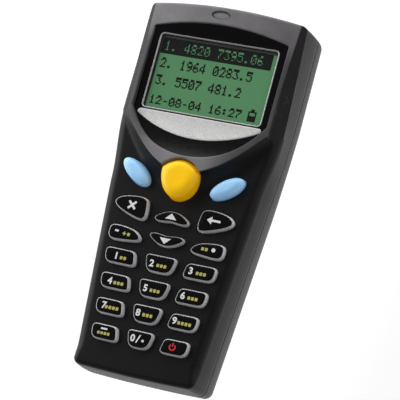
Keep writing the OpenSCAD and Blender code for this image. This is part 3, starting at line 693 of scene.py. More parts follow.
def build_front():
    b = Build()
    # outer rings, from the field's border down to the parting line
    p = inset(F24, 0.35)
    border = b.add(p, ZK + shell_z(p[:, 0], p[:, 1], 0.35))
    last = border
    for d in (0.22, 0.12, 0.05, 0.015, 0.0):
        p = inset(F24, d) if d else F24
        z = ZK + shell_z(p[:, 0], p[:, 1], d)
        ring = b.add(p, z)
        b.strip(ring, last)
        last = ring
    ztop = z
    F15 = front_ring(15)

    def wall(z, extra=0.0):
        t = np.clip((ztop - z) / (ztop - 15), 0, 1)[:, None]
        t = 1 - (1 - t) ** 1.7
        return F24 * (1 - t) + F15 * t

    for f in (0.06, 0.16, 0.3, 0.47, 0.68, 0.86):
        z = lerp(ztop, np.full(len(F24), 15.3), f)
        ring = b.add(wall(z), z)
        b.strip(ring, last)
        last = ring
    for z, d in ((15.34, 0), (15.26, 0.04), (15.08, 0.24), (15.0, 0.5)):
        ring = b.add(front_ring(15.0, d, d, d) if d else wall(np.full(len(F24), z)), z)
        b.strip(ring, last)
        last = ring
    for z, d in ((15.4, 0.52), (15.4, 1.6), (15.0, 1.62), (15.0, 2.0), (24.0, None)):
        q = front_ring(24, 2, 2, 2) if d is None else front_ring(15, d, d, d)
        ring = b.add(q, z)
        b.strip(ring, last)
        last = ring
    ceiling = last
    # key openings with a small rounded lip
    holes, tops, lips = [], [], []
    for name, (p, _, kind) in KEYS.items():
        e = inset(p, -0.25)
        q0, q1 = inset(e, -0.12), inset(e, -0.05)
        l0, l1, l2 = b.add(q0, surf(q0)), b.add(q1, surf(q1) - 0.025), b.add(e, surf(e) - 0.1)
        l3 = b.add(e, 24.0)
        b.strip(l1, l0)
        b.strip(l2, l1)
        b.strip(l3, l2)
        tops.append(l0)
        holes.append(l3)
        lips.append(q0)
    # the strips above run round a hole, so they face into it
    q = ellipse(6.5, 2.95, -1.0, 58.05)
    q0 = inset(q, -0.16)
    l0, l2, l3 = b.add(q0, surf(q0)), b.add(q, surf(q) - 0.14), b.add(q, 24.35)
    b.strip(l2, l0)
    b.strip(l3, l2)
    b.fill([l3], up=True)
    tops.append(l0)
    lips.append(q0)
    # display recess
    r0 = recess_plan()
    q0, q1 = inset(r0, -0.22), inset(r0, -0.09)
    l0, l1, l2, l3 = b.add(q0, surf(q0)), b.add(q1, surf(q1) - 0.05), b.add(r0, surf(r0) - 0.2), b.add(r0, 25.0)
    b.strip(l1, l0)
    b.strip(l2, l1)
    b.strip(l3, l2)
    tops.append(l0)
    lips.append(q0)
    win = rounded_rect(39.6, 24.8, 1.0)
    w1, w0 = b.add(win, 25.0), b.add(win, 24.0)
    b.strip(w0, w1)
    b.fill([l3, w1], up=True)
    holes.append(w0)
    # points of the field: rows along the creases first, then a grid
    rows = []
    xs = np.arange(-25.2, 25.3, 0.3)
    for x in xs:
        lo, hi = float(v_low(x)) - 6, float(v_low(x)) + 1
        for _ in range(40):
            mid = (lo + hi) / 2
            if sweep(x, mid) < crown(x, mid):
                lo = mid
            else:
                hi = mid
        rows += [(x, mid + o) for o in (-1.25, -1.0, -0.8, -0.65, -0.52, -0.4, -0.28, -0.17, -0.08, 0, 0.08, 0.17, 0.28, 0.42)]
    for y in np.arange(19, 60.4, 0.3):
        sx = float(side_x(y))
        dlc = (float(crown(sx, y)) - 1.45) / 6.05
        for s in (-1, 1):
            rows += [(s * (sx - dlc + o), y) for o in (-0.36, -0.24, -0.14, -0.06, 0, 0.06, 0.14, 0.24)]
            rows += [(s * (sx + o), y) for o in (-0.06, 0.0, 0.08, 0.2)]
            rows += [(s * (sx + o), y) for o in (0.5, 0.8, 1.1, 1.35, 1.5, 1.65, 1.85, 2.1, 2.35)]
    for d in (0.47, 0.62, 0.78, 0.98, 1.22, 1.5, 1.8, 2.1, 2.45, 2.8, 3.15, 3.5):
        rows += [tuple(q) for q in inset(F24, d)]
    gx, gy = np.meshgrid(np.arange(-28, 28.01, 0.46), np.arange(-61.5, 61.6, 0.46))
    gx = gx + 0.23 * (np.arange(gx.shape[0]) % 2)[:, None]
    grid = np.stack([gx.ravel(), gy.ravel()], 1)
    outer = inset(F24, 0.35)
    loops = [resample(l, 0.2) for l in lips + [outer]]
    kd_loop = kdtree.KDTree(sum(map(len, loops)))
    for i, q in enumerate(np.concatenate(loops)):
        kd_loop.insert((q[0], q[1], 0), i)
    kd_loop.balance()

    def free(pts, kd, r):
        return np.array([q for q in pts if kd.find((q[0], q[1], 0))[2] > r]).reshape(-1, 2)

    def in_field(pts):
        pts = np.asarray(pts)
        keep = inside(pts, outer)
        for l in lips:
            keep &= ~inside(pts, l)
        return pts[keep]

    rows = free(in_field(rows), kd_loop, 0.09)
    seen, thin = {}, []
    for q in rows:      # no two rows' points closer than about 0.06
        key = (int(q[0] / 0.06), int(q[1] / 0.06))
        if key not in seen:
            seen[key] = 1
            thin.append(q)
    rows = np.array(thin)
    kd_rows = kdtree.KDTree(len(rows))
    for i, q in enumerate(rows):
        kd_rows.insert((q[0], q[1], 0), i)
    kd_rows.balance()
    grid = free(free(in_field(grid), kd_loop, 0.24), kd_rows, 0.22)
    inner = np.concatenate([rows, grid])
    b.fill([border] + tops, inner, surf, up=True)
    b.fill([ceiling] + holes, up=False)
    # posts for the screws, and the ledges of the corners
    for x, y in ((21, 54.6), (-21, 54.6), (15.5, -55), (-15.5, -55)):
        b.tube(x, y, 1.05, 2.7, 15.0, 24.3)
    for x, y in ((21.3, 15.5), (-21.3, 15.5), (0, -55.2)):
        b.tube(x, y, 0.75, 2.0, 20.0, 24.3)
    return b


def paint_shield_sheen(o):
    """Painted sheen: 0 on the keypad face; on the raised shield round the display a lighter tone is painted in,
    lightest over the display and under it, standing in for the light that falls there.
    """
    me = o.data
    co = np.zeros(len(me.vertices) * 3, np.float32)
    me.vertices.foreach_get("co", co)
    co = co.reshape(-1, 3).astype(float) * 1000
    x, y, z = co.T
    above = np.minimum(sweep(x, y) - crown(x, y), side_fall(x, y) - crown(x, y))
    head, chin = sm((y - 45) / 9), sm((22 - y) / 10) * sm((20 - np.abs(x + 2)) / 14)
    # painted sheen weight: a lighter base on the shield, raised over the display and under it near the scan key, dimmed
    # towards +x
    w = sm((above + 0.25) / 0.6) * (z > 22) * (0.36 + 0.64 * np.maximum(head * (1 - 0.45 * sm((x - 2) / 20)), chin))
    at = me.attributes.new("shield", "FLOAT", "POINT")
    at.data.foreach_set("value", w.astype(np.float32))


# the opening of the scan window, cut through both covers
SCAN_CUT = prism_mesh(rounded_rect(32, 11, 1.6, 0, 11.5), -66, -56, axis="Y")
front_b = build_front()
front_me = cut(front_b.mesh("front_shell"), [SCAN_CUT])
front = piece("front_shell", front_me, [BLACK], "casing", ["front_cover"], angle=38)
paint_shield_sheen(front)



# -------------------------------------------------------------------- keys
# (height above the keypad face, inset, material) up the side, then the top's own height at a distance from its edge
PROFILES = {
    "flat": [(0.05, 0.0, 0), (0.35, 0.02, 0), (0.75, 0.07, 0), (1.08, 0.14, 0), (1.33, 0.22, 0), (1.5, 0.30, 1), (1.6, 0.40, 1),
             (1.62, 0.44, 1), (1.64, 0.46, 2), (1.71, 0.51, 2), (1.77, 0.59, 2), (1.80, 0.72, 2)],
    "thin": [(0.05, 0.0, 0), (0.35, 0.015, 0), (0.75, 0.05, 0), (1.08, 0.1, 0), (1.33, 0.16, 0), (1.5, 0.22, 1), (1.6, 0.30, 1),
             (1.62, 0.33, 1), (1.64, 0.35, 2), (1.71, 0.39, 2), (1.77, 0.46, 2), (1.80, 0.56, 2)],
    "scan": [(0.3, 0.0, 0), (1.5, 0.02, 0), (2.5, 0.07, 0), (3.3, 0.15, 0)],
    "blue": [(0.3, 0.0, 0), (0.8, 0.02, 0), (1.25, 0.07, 0), (1.6, 0.14, 0)],
}


def membrane(outline, step=0.22):
    """A smooth hill over the outline, 0 at the line and 1 at its top."""
    lo, hi = outline.min(0) - 2 * step, outline.max(0) + 2 * step
    gx, gy = np.arange(lo[0], hi[0], step), np.arange(lo[1], hi[1], step)
    mx, my = np.meshgrid(gx, gy)
    q = np.stack([mx.ravel(), my.ravel()], 1)
    ins = inside(q, outline).reshape(mx.shape)
    dist = distance(q, outline).reshape(mx.shape)
    u = np.where(ins, np.minimum(dist, 3), 0.0)
    edge = ins & (dist < step)
    for _ in range(1500):
        n = 0.25 * (np.roll(u, 1, 0) + np.roll(u, -1, 0) + np.roll(u, 1, 1) + np.roll(u, -1, 1) + step * step * 0.6)
        u = np.where(ins & ~edge, n, 0.0)
        u = np.where(edge, dist * 1.3, u)
    top = u.max()

    def f(p):
        p = np.asarray(p, float)
        a, b = np.clip((p[:, 0] - gx[0]) / step, 0, len(gx) - 1.001), np.clip((p[:, 1] - gy[0]) / step, 0, len(gy) - 1.001)
        i, j = a.astype(int), b.astype(int)
        a, b = a - i, b - j
        v = (u[j, i] * (1 - a) + u[j, i + 1] * a) * (1 - b) + (u[j + 1, i] * (1 - a) + u[j + 1, i + 1] * a) * b
        return np.clip(v / top, 0, 1)
    return f


HILLS = {}


def grid_in(outline, step, gap):
    lo, hi = outline.min(0), outline.max(0)
    gx, gy = np.meshgrid(np.arange(lo[0], hi[0], step), np.arange(lo[1], hi[1], step))
    gx = gx + step / 2 * (np.arange(gx.shape[0]) % 2)[:, None]
    g = np.stack([gx.ravel(), gy.ravel()], 1)
    g = g[inside(g, outline)]
    return g[distance(g, outline) > gap] if len(g) else g


def key_top_z(name):
    outline, _, kind = KEYS[name]
    profile = PROFILES[kind]
    if name not in HILLS:
        HILLS[name] = membrane(inset(outline, profile[-1][1]))

    def z(q):
        q = np.asarray(q, float)
        u = HILLS[name](q)
        if kind == "scan":
            return ZK + 3.3 + 2.45 * np.sqrt(np.clip(1 - (1 - np.clip(u / 0.94, 0, 1)) ** 2.0, 0, 1)) - 0.12 * sm((u - 0.6) / 0.4)
        if kind == "blue":
            return ZK + 1.6 + 1.75 * (1 - (1 - u) ** 2.1)
        return ZK + 1.80 + (0.06 if kind == "flat" else 0.04) * sm(u / 0.8)
    return z


def make_key(name):
    outline, stem, kind = KEYS[name]
    profile = PROFILES[kind]
    b = Build()
    wide = inset(outline, -0.55)
    f0, f1, k0 = b.add(wide, 23.0), b.add(wide, 23.9), b.add(outline, 23.9)
    b.fill([f0], up=False)
    b.strip(f0, f1)
    b.strip(f1, k0)
    last = k0
    for z, d, m in profile:
        p = inset(outline, d) if d else outline
        ring = b.add(smooth_loop(p, 1) if d > 0.3 else p, ZK + z)
        b.strip(last, ring, m)
        last = ring
    top = np.array([b.v[i][:2] for i in last])
    big = kind in ("scan", "blue")
    zf = key_top_z(name)
    if big:
        for d in (0.05, 0.12, 0.22, 0.36):
            p = inset(top, d)
            ring = b.add(p, zf(p))
            b.strip(last, ring, profile[-1][2])
            last = ring
        top = np.array([b.v[i][:2] for i in last])
    b.fill([last], grid_in(top, 0.34 if big else 0.42, 0.16 if big else 0.22), zf, up=True, m=profile[-1][2])
    b.tube(stem[0], stem[1], 0, 1.5, 21.0, 23.4)
    mats = {"scan": [YELLOW], "blue": [BLUE]}.get(kind, [FLANK, RIM, KEYTOP])
    return piece("cap_" + name[4:], b.mesh("cap_" + name[4:]), mats, name + "_cap", [name], angle=50)


for name in KEYS:
    make_key(name)


# ----------------------------------------------------------- printed marks
def text_shape(body, size, bold=0.0):
    """2-D triangles of plain numerals in the built-in face: (points, triangles), centred on 0."""
    cu = bpy.data.curves.new("t", "FONT")
    cu.body, cu.size, cu.offset, cu.resolution_u = body, size, bold, 5
    cu.align_x, cu.align_y = "CENTER", "CENTER"
    o = bpy.data.objects.new("t", cu)
    SCENE.collection.objects.link(o)
    bpy.context.view_layer.update()
    me = bpy.data.meshes.new_from_object(o.evaluated_get(bpy.context.evaluated_depsgraph_get()))
    bpy.data.objects.remove(o)
    bm = bmesh.new()
    bm.from_mesh(me)
    bmesh.ops.remove_doubles(bm, verts=bm.verts, dist=1e-4)
    bmesh.ops.triangulate(bm, faces=bm.faces)
    bm.verts.ensure_lookup_table()
    pts = np.array([v.co[:2] for v in bm.verts]).reshape(-1, 2)
    tri = [tuple(v.index for v in f.verts) for f in bm.faces]
    bm.free()
    bpy.data.meshes.remove(me)
    pts -= (pts.min(0) + pts.max(0)) / 2
    return pts, tri


def poly_shape(p):
    p = np.asarray(p, float)
    vv, _, ff = delaunay_2d_cdt([Vector(q) for q in p], [(i, (i + 1) % len(p)) for i in range(len(p))], [], 0, 1e-7, False)[:3]
    pts = np.array([(q.x, q.y) for q in vv])
    tri = [tuple(f) for f in ff if len(f) == 3 and inside(pts[list(f)].mean(0)[None], p)[0]]
    return pts, tri


def stamp(b, shape, at, zf, m=0, high=0.035, deep=0.05, skew=0.0):
    """Adds a closed thin solid of a flat shape that follows the surface zf."""
    pts, tri = shape
    pts = pts + np.array(at)
    if skew:
        pts = pts + np.stack([(pts[:, 1] - at[1]) * skew, np.zeros(len(pts))], 1)
    z = zf(pts)
    a, c = b.add(pts, z + high), b.add(pts, z - deep)
    edges = {}
    for t in tri:
        q = [pts[i] for i in t]
        area = (q[1][0] - q[0][0]) * (q[2][1] - q[0][1]) - (q[2][0] - q[0][0]) * (q[1][1] - q[0][1])
        if abs(area) < 1e-9:
            continue
        if area < 0:
            t = t[::-1]
        b.f += [tuple(a[i] for i in t), tuple(c[i] for i in t[::-1])]
        b.m += [m, m]
        for i, j in ((t[0], t[1]), (t[1], t[2]), (t[2], t[0])):
            edges[(i, j)] = edges.get((i, j), 0) + 1
    for (i, j) in edges:
        if (j, i) not in edges:
            b.f.append((c[i], c[j], a[j], a[i]))
            b.m.append(m)


def disc(r, k=20):
    return poly_shape([(r * math.cos(t), r * math.sin(t)) for t in np.linspace(0, 2 * math.pi, k, endpoint=False)])


def bar(w, h, r=0.12):
    return poly_shape(rounded_rect(w, h, r, 0, 0, k=3, most=9))


def marks():
    at = {"key_1": (-14.7, -24.5), "key_2": (-2.45, -24.5), "key_3": (10.85, -24.4), "key_4": (-14.55, -32.65), "key_5": (-2.3, -32.6),
          "key_6": (10.45, -32.5), "key_7": (-14.2, -40.65), "key_8": (-2.5, -40.6), "key_9": (9.95, -40.7), "key_0": (-2.0, -48.75)}
    pips = {"key_1": (2, -12.3), "key_2": (3, 0.95), "key_3": (3, 14.35), "key_4": (3, -11.5), "key_5": (3, 0.95), "key_6": (3, 13.8),
            "key_7": (4, -11.5), "key_8": (3, 0.75), "key_9": (4, 13.3)}
    for name, (outline, _, kind) in KEYS.items():
        if kind in ("scan", "blue"):
            continue
        b = Build()
        zf = key_top_z(name)
        pip = bar(0.92, 1.05, 0.22)
        if name in at:
            x, y = at[name]
            stamp(b, text_shape(name[-1], 3.0, 0.1), (x, y), zf, 0)
            if name in pips:
                n, mx = pips[name]
                for k in range(n):
                    stamp(b, pip, (mx + (k - (n - 1) / 2) * 1.22, y - 0.42), zf, 1)
            if name == "key_0":
                stamp(b, poly_shape([(-0.68, -1.3), (-0.22, -1.3), (0.68, 1.3), (0.22, 1.3)]), (-0.15, -48.75), zf, 0)
                stamp(b, disc(0.42), (1.5, -49.1), zf, 0)
        elif name in ("key_up", "key_down"):
            s = 1 if name == "key_up" else -1
            stamp(b, poly_shape([(-1.95, -0.9 * s), (1.95, -0.9 * s), (0, 1.0 * s)][::s]), (-0.2, -8.85 if s > 0 else -16.85), zf, 0)
        elif name == "key_minus":
            stamp(b, bar(1.3, 0.62), (-16.8, -16.6), zf, 0)
            stamp(b, bar(1.2, 0.38, 0.1), (-14.1, -17.1), zf, 1)
            stamp(b, bar(0.38, 1.2, 0.1), (-14.1, -17.1), zf, 1, high=0.037)
            stamp(b, pip, (-12.6, -17.2), zf, 1)
        elif name == "key_dot":
            stamp(b, disc(0.66), (16.35, -16.7), zf, 0)
            for k in (0, 1):
                stamp(b, pip, (12.75 + 1.25 * k, -16.9), zf, 1)
        elif name == "key_escape":
            for a, h in ((45, 0.035), (-45, 0.038)):
                c, sn = math.cos(math.radians(a)), math.sin(math.radians(a))
                p = [(x * c - y * sn, x * sn + y * c) for x, y in rounded_rect(3.5, 0.72, 0.2, 0, 0, k=3, most=9)]
                stamp(b, poly_shape(p), (-14.1, -7.6), zf, 0, high=h)
        elif name == "key_backspace":
            stamp(b, poly_shape([(-2.4, 0), (-0.7, -1.25), (-0.7, -0.36), (2.2, -0.36), (2.2, 0.36), (-0.7, 0.36), (-0.7, 1.25)]),
                  (14.0, -7.55), zf, 0)
        elif name == "key_fn":
            stamp(b, bar(2.2, 0.55, 0.15), (-12.05, -47.95), zf, 0)
            for k in range(4):
                stamp(b, bar(0.86, 0.9, 0.2), (-11.95 + (k - 1.5) * 1.12, -49.4), zf, 1)
        elif name == "key_power":
            ring = [(1.15 * math.sin(t), 1.15 * math.cos(t)) for t in np.radians(np.linspace(40, 320, 30))]
            ring += [(0.72 * math.sin(t), 0.72 * math.cos(t)) for t in np.radians(np.linspace(320, 40, 30))]
            stamp(b, poly_shape(ring), (11.5, -48.95), zf, 2)
            stamp(b, bar(0.42, 1.2, 0.12), (11.5, -48.2), zf, 2)
        piece("mark_" + name[4:], b.mesh("mark_" + name[4:]), [WHITE_INK, YELLOW_INK, RED_INK], name + "_cap", angle=30)


marks()


# ----------------------------------------------------------------- display
def insert_z(q):
    y = np.asarray(q, float)[:, 1]
    lowr = 1.2 + 3.4 * (np.maximum(0, 24.4 - y) / 14) ** 1.5
    high = 1.2 + 2 * (np.maximum(0, y - 50.6) / 4.5) ** 1.4
    return ZK + np.where(y < 24.4, lowr, np.where(y > 50.6, high, 1.2))


def build_insert():
    b = Build()
    out = inset(recess_plan(), 0.12)
    q = inset(out, 0.14)
    lens_o, lens_i = rounded_rect(41.5, 25.9, 1.5), rounded_rect(40.4, 24.6, 0.8)
    bot, e0, e1 = b.add(out, 25.02), b.add(out, insert_z(out) - 0.14), b.add(q, insert_z(q))
    b.strip(bot, e0)
    b.strip(e0, e1)
    n = 130
    lo = resample(lens_o, 0.4)
    l1, l0 = b.add(lo, ZK + 1.2), b.add(lo, ZK + 0.2)
    b.strip(l0, l1)
    w1, w0 = b.add(lens_i, ZK + 0.2), b.add(lens_i, 25.02)
    b.strip(w0, w1)
    b.fill([l0, w1], up=True)
    b.fill([bot, w0], up=False)
    g = grid_in(q, 0.6, 0.3)
    keep = ~inside(g, inset(lo, -0.25))
    b.fill([e1, l1], g[keep], insert_z, up=True)
    return b


piece("display_insert", build_insert().mesh("display_insert"), [GLOSS], "casing", ["display_bezel"], angle=38)


def build_trim():
    b = Build()
    xs = np.linspace(0, 21.3, 60)
    h = [(x, 16.75 + 0.0133 * x * x) for x in xs] + [(21.35, 23.2), (21.1, 23.9), (20.4, 24.2)] + [(x, 24.2) for x in np.linspace(19, 0, 30)]
    p = smooth_loop(resample(both(h), 0.5), 1)
    q = inset(p, 0.12)
    r = inset(p, 0.22)
    zb = insert_z(p) - 0.02
    a, c, d, e = b.add(p, zb), b.add(p, insert_z(p) + 0.14), b.add(q, insert_z(q) + 0.24), b.add(r, insert_z(r) + 0.27)
    b.strip(a, c)
    b.strip(c, d)
    b.strip(d, e)
    b.fill([e], grid_in(r, 0.6, 0.3), lambda t: insert_z(t) + 0.27, up=True)
    b.fill([a], grid_in(p, 0.6, 0.3), lambda t: insert_z(t) - 0.02, up=False)
    return b


piece("silver_crescent", build_trim().mesh("silver_crescent"), [SILVER], "casing", ["trim_plate"], angle=38)


def build_lens():
    """Clear lens with a moulded frame, its bevel painted pale as a glint of light at the clear edge: flat lip outside,
    soft slope towards the picture inside.
    """
    b = Build()
    p = rounded_rect(41.4, 25.8, 1.45, k=10, most=1.2)
    z0, z1 = ZK + 0.2, ZK + 1.34
    last = b.add(p, z0)
    b.fill([last], up=False, m=0)
    for d, z, m in ((0, z1 - 0.22, 1), (0.04, z1 - 0.1, 1), (0.1, z1 - 0.03, 1), (0.17, z1, 1), (0.26, z1 - 0.02, 1), (0.35, z1 - 0.08, 1),
                    (0.43, z1 - 0.16, 1), (0.5, z1 - 0.26, 1), (0.53, z1 - 0.31, 1), (0.58, z1 - 0.32, 0)):
        ring = b.add(inset(p, d) if d else p, z)
        b.strip(last, ring, m)
        last = ring
    b.fill([last], up=True, m=0)
    return b


piece("display_window", build_lens().mesh("display_window"), [LENS, EDGE], "casing", ["display_lens"], angle=50)


def build_mask():
    """The black printed border under the lens."""
    b = Build()
    o, i = rounded_rect(41.0, 25.4, 1.3), rounded_rect(39.9, 23.7, 0.4, 0.3, 37.15)
    o0, o1, i0, i1 = b.add(o, ZK + 0.12), b.add(o, ZK + 0.2), b.add(i, ZK + 0.12), b.add(i, ZK + 0.2)
    b.strip(o0, o1)
    b.strip(i1, i0)
    b.fill([o1, i1], up=True)
    b.fill([o0, i0], up=False)
    return b


piece("lens_border_print", build_mask().mesh("lens_border_print"), [BORDER], "casing", angle=30)

# plain 5 x 7 numerals and signs for the dot display
GLYPHS = {"0": "01110 10001 10011 10101 11001 10001 01110", "1": "00100 01100 00100 00100 00100 00100 01110",
          "2": "01110 10001 00001 00010 00100 01000 11111", "3": "11111 00010 00100 00010 00001 10001 01110",
          "4": "00010 00110 01010 10010 11111 00010 00010", "5": "11111 10000 11110 00001 00001 10001 01110",
          "6": "00110 01000 10000 11110 10001 10001 01110", "7": "11111 00001 00010 00100 01000 01000 01000",
          "8": "01110 10001 10001 01110 10001 10001 01110", "9": "01110 10001 10001 01111 00001 00010 01100",
          ".": "00000 00000 00000 00000 00000 01100 01100", ":": "00000 01100 01100 00000 01100 01100 00000",
          "-": "00000 00000 00000 01110 00000 00000 00000", " ": "00000 00000 00000 00000 00000 00000 00000"}
LCD_Z = ZK + 0.0


def lcd_dots():
    """A display of 100 by 64 dots: lit[row][column], row 0 at the top."""
    lit = np.zeros((64, 100), bool)

    def text(t, row, col, tall, pitch, value=True):
        for k, ch in enumerate(t):
            g = GLYPHS[ch].split()
            for r in range(tall):
                line = g[min(6, r * 7 // tall)]
                for c in range(5):
                    if line[c] == "1":
                        lit[row + r, col + k * pitch + c] = value
    lit[0:15, :] = True
    text("1. 4820 7395.06", 3, 3, 9, 6, False)
    text("2. 1964 0283.5", 19, 3, 9, 6)
    text("3. 5507 481.2", 35, 3, 9, 6)
    text("12-08-04 16:27", 54, 2, 8, 6)
    lit[54:63, 91:98] = True           # battery sign
    lit[52:54, 93:96] = True
    lit[55:58, 92:97] = False
    return lit


def build_picture():
    b = Build()
    for p, z0, z1, v in ((rounded_rect(44, 29.2, 0.5, 0, 37.2, k=3), ZK - 4.1, ZK - 2.1, 0.15),
                         (rounded_rect(39.9, 24.4, 0.6, 0.2, 37.4, k=3), ZK - 2.1, LCD_Z, 0.1)):
        a, c, d = b.add(p, z0), b.add(p, z1 - v), b.add(inset(p, v), z1)
        b.strip(a, c)
        b.strip(c, d)
        b.fill([a], up=False)
        b.fill([d], up=True)
    return b


piece("display_picture", build_picture().mesh("display_picture"), [LCD], "casing", ["lcd_glass"], angle=30)


def build_dots():
    """The dark dots as one closed relief: each dot swells a little into its neighbours."""
    lit = lcd_dots()[::-1]
    rows, cols = lit.shape
    px, py, g = 38.35 / cols, 23.3 / rows, 0.05
    x0, y0 = -19.8, 37.57 - 11.65
    xs = np.array([x0 + c * px + o for c in range(cols) for o in ((-g, g) if c else (g,))] + [x0 + cols * px - g])
    ys = np.array([y0 + r * py + o for r in range(rows) for o in ((-g, g) if r else (g,))] + [y0 + rows * py - g])
    full = np.zeros((2 * rows - 1, 2 * cols - 1), bool)
    full[::2, ::2] = lit
    full[::2, 1::2] = lit[:, 1:] | lit[:, :-1]
    full[1::2, :] = full[2::2, :] | full[:-2:2, :]
    b = Build()
    top, low = {}, {}

    def at(store, i, j, z):
        if (i, j) not in store:
            store[(i, j)] = len(b.v)
            b.v.append((float(xs[j]), float(ys[i]), z))
        return store[(i, j)]

    zt, zl = LCD_Z + 0.03, LCD_Z - 0.004
    h, w = full.shape
    for i, j in zip(*np.nonzero(full)):
        c = ((i, j), (i, j + 1), (i + 1, j + 1), (i + 1, j))
        t, l = [at(top, *q, zt) for q in c], [at(low, *q, zl) for q in c]
        b.f += [tuple(t), tuple(l[::-1])]
        b.m += [0, 0]
        for k, (di, dj) in enumerate(((-1, 0), (0, 1), (1, 0), (0, -1))):
            a, e = i + di, j + dj
            if not (0 <= a < h and 0 <= e < w and full[a, e]):
                n = (k + 1) % 4
                b.f.append((l[k], l[n], t[n], t[k]))
                b.m.append(0)
    return b


piece("display_dots", build_dots().mesh("display_dots"), [DOTS], "casing", angle=30)


def build_status():
    b = Build()
    p = ellipse(6.3, 2.75, -1.0, 58.05)
    last = b.add(p, 24.4)
    b.fill([last], up=False)
    for d, z in ((0, 3.05), (0.05, 3.2), (0.16, 3.31), (0.32, 3.38)):
        ring = b.add(inset(p, d) if d else p, ZK + z)
        b.strip(last, ring)
        last = ring
    q = np.array([b.v[i][:2] for i in last])
    b.fill([last], grid_in(q, 0.3, 0.15), lambda t: ZK + 3.38 + 0.1 * sm(distance(t, q) / 0.9), up=True)
    return b


piece("status_window", build_status().mesh("status_window"), [STATUS], "casing", ["status_lens"], angle=40)


# -------------------------------------------------------------- back cover
def circle(r, cx=0.0, cy=0.0, n=40):
    return np.array([(cx + r * math.cos(t), cy + r * math.sin(t)) for t in np.linspace(0, 2 * math.pi, n, endpoint=False)])


def lofted(rings, name="loft"):
    """Closed mesh through rings = [(z, points), ...] of equal point counts."""
    b = Build()
    last = None
    for z, p in rings:
        ring = b.add(p, z)
        if last is None:
            b.fill([ring], up=False)
        else:
            b.strip(last, ring)
        last = ring
    b.fill([last], up=True)
    return b.mesh(name)


def mouth(p, z1, flare=0.25, at=0.0):
    """Cutter for an opening through the flat back, its edge at height `at` eased by a small slope."""
    wide = inset(p, -flare)
    return lofted([(-1.0, wide), (at, wide), (at + flare * 0.55, inset(p, -flare * 0.3)), (at + flare, p), (z1, p)], "mouth")


def box(x0, x1, y0, y1, z0, z1, r=0.0, bevel=0.0):
    p = rounded_rect(x1 - x0, y1 - y0, r, (x0 + x1) / 2, (y0 + y1) / 2, k=6, most=9) if r else np.array([(x0, y0), (x1, y0), (x1, y1), (x0, y1)], float)
    return prism_mesh(p, z0, z1, bevel=bevel)


CASE_SCREWS = ((21, 54.6), (-21, 54.6), (15.5, -55), (-15.5, -55))


def build_back():
    zs = [0, 0.05, 0.12, 0.22, 0.35, 0.55, 0.8, 1.1, 1.5, 2.0, 2.6, 3.3, 4.1, 5.0, 6.0, 7.2, 8.6, 10, 11.3, 12.5, 13.6, 14.6]
    rings = [(z, back_ring(z)) for z in zs]
    rings += [(14.74, back_ring(14.74, 0.03)), (14.92, back_ring(14.92, 0.22)), (15.0, back_ring(15.0, 0.42))]
    me = lofted(rings, "back_shell")
    room = lofted([(z, back_ring(min(z, 15.0), 2.0)) for z in (2.0, 2.6, 3.4, 4.4, 5.6, 7.2, 9, 11, 13, 15, 16)])
    room = cut(room, [prism_mesh(circle(3.5, x, y), -1, 20) for x, y in CASE_SCREWS]
               + [box(-13, 13, -51.6, 0.8, 1, 14.8, 0.8), box(-14.2, 14.2, 0.4, 9, 1, 8, 0.6), box(-12, 12, 39.4, 40.6, 1, 10)])
    groove = Build()
    a0, a1 = groove.add(back_ring(15, 0.46), 14.6), groove.add(back_ring(15, 0.46), 15.4)
    c0, c1 = groove.add(back_ring(15, 1.6), 14.6), groove.add(back_ring(15, 1.6), 15.4)
    groove.strip(a0, a1)
    groove.strip(c1, c0)
    groove.fill([a0, c0], up=False)
    groove.fill([a1, c1], up=True)
    cutters = [room, groove.mesh("groove"),
               box(-11.6, 11.6, -49.2, -0.9, -1, 14, 0.7),
               mouth(rounded_rect(25.6, 56.6, 1.1, 0, -24.3, k=8, most=2.0), 2.0, 0.3),
               prism_mesh(circle(3.4, 4.0, 2.6, 48), -12.8, 12.8, axis="X"),
               mouth(rounded_rect(25.6, 6.8, 0.5, 0, 4.0, k=6, most=2.0), 2.6, 0.3),
               box(-5.3, 5.3, -54.8, -46.8, 1.75, 3.2, 0.4),
               SCAN_CUT, box(-17.6, 17.6, 56.2, 58.1, 4.6, 16.6),
               prism_mesh(rounded_rect(14, 5.2, 0.8, 0, 8.0, k=6, most=2.0), 57, 62.5, axis="Y"),
               mouth(rounded_rect(34, 20, 1.4, 0, 24.0, k=8, most=2.0), 0.16, 0.12)]
    for x, y in CASE_SCREWS:
        c, w = circle(2.5, x, y), circle(3.1, x, y)
        cutters.append(lofted([(-1, w), (0.55 if y > 0 else 0.1, w), (1.1 if y > 0 else 0.6, circle(2.6, x, y)), (1.4 if y > 0 else 0.9, c), (4.5, c)]))
        cutters.append(prism_mesh(circle(1.3, x, y, 28), 3, 20))
    me = cut(me, cutters)
    lugs = []
    for sx in (-6, 6):
        a = np.radians(np.linspace(180, 360, 25))
        plan = [(2.15, 6.6)] + [(4 + 1.85 * math.cos(t), 2.6 + 1.85 * math.sin(t)) for t in a] + [(5.85, 6.6)]
        lug = prism_mesh(resample(np.array(plan), 1.2), sx - 1.9, sx + 1.9, axis="X", bevel=0.15)
        lugs.append(cut(lug, [prism_mesh(circle(0.82, 4, 2.6, 28), sx - 4, sx + 4, axis="X")]))
    return cut(me, lugs, "UNION")


piece("back_shell", build_back(), [BACKP], "casing", ["back_cover"], angle=40)


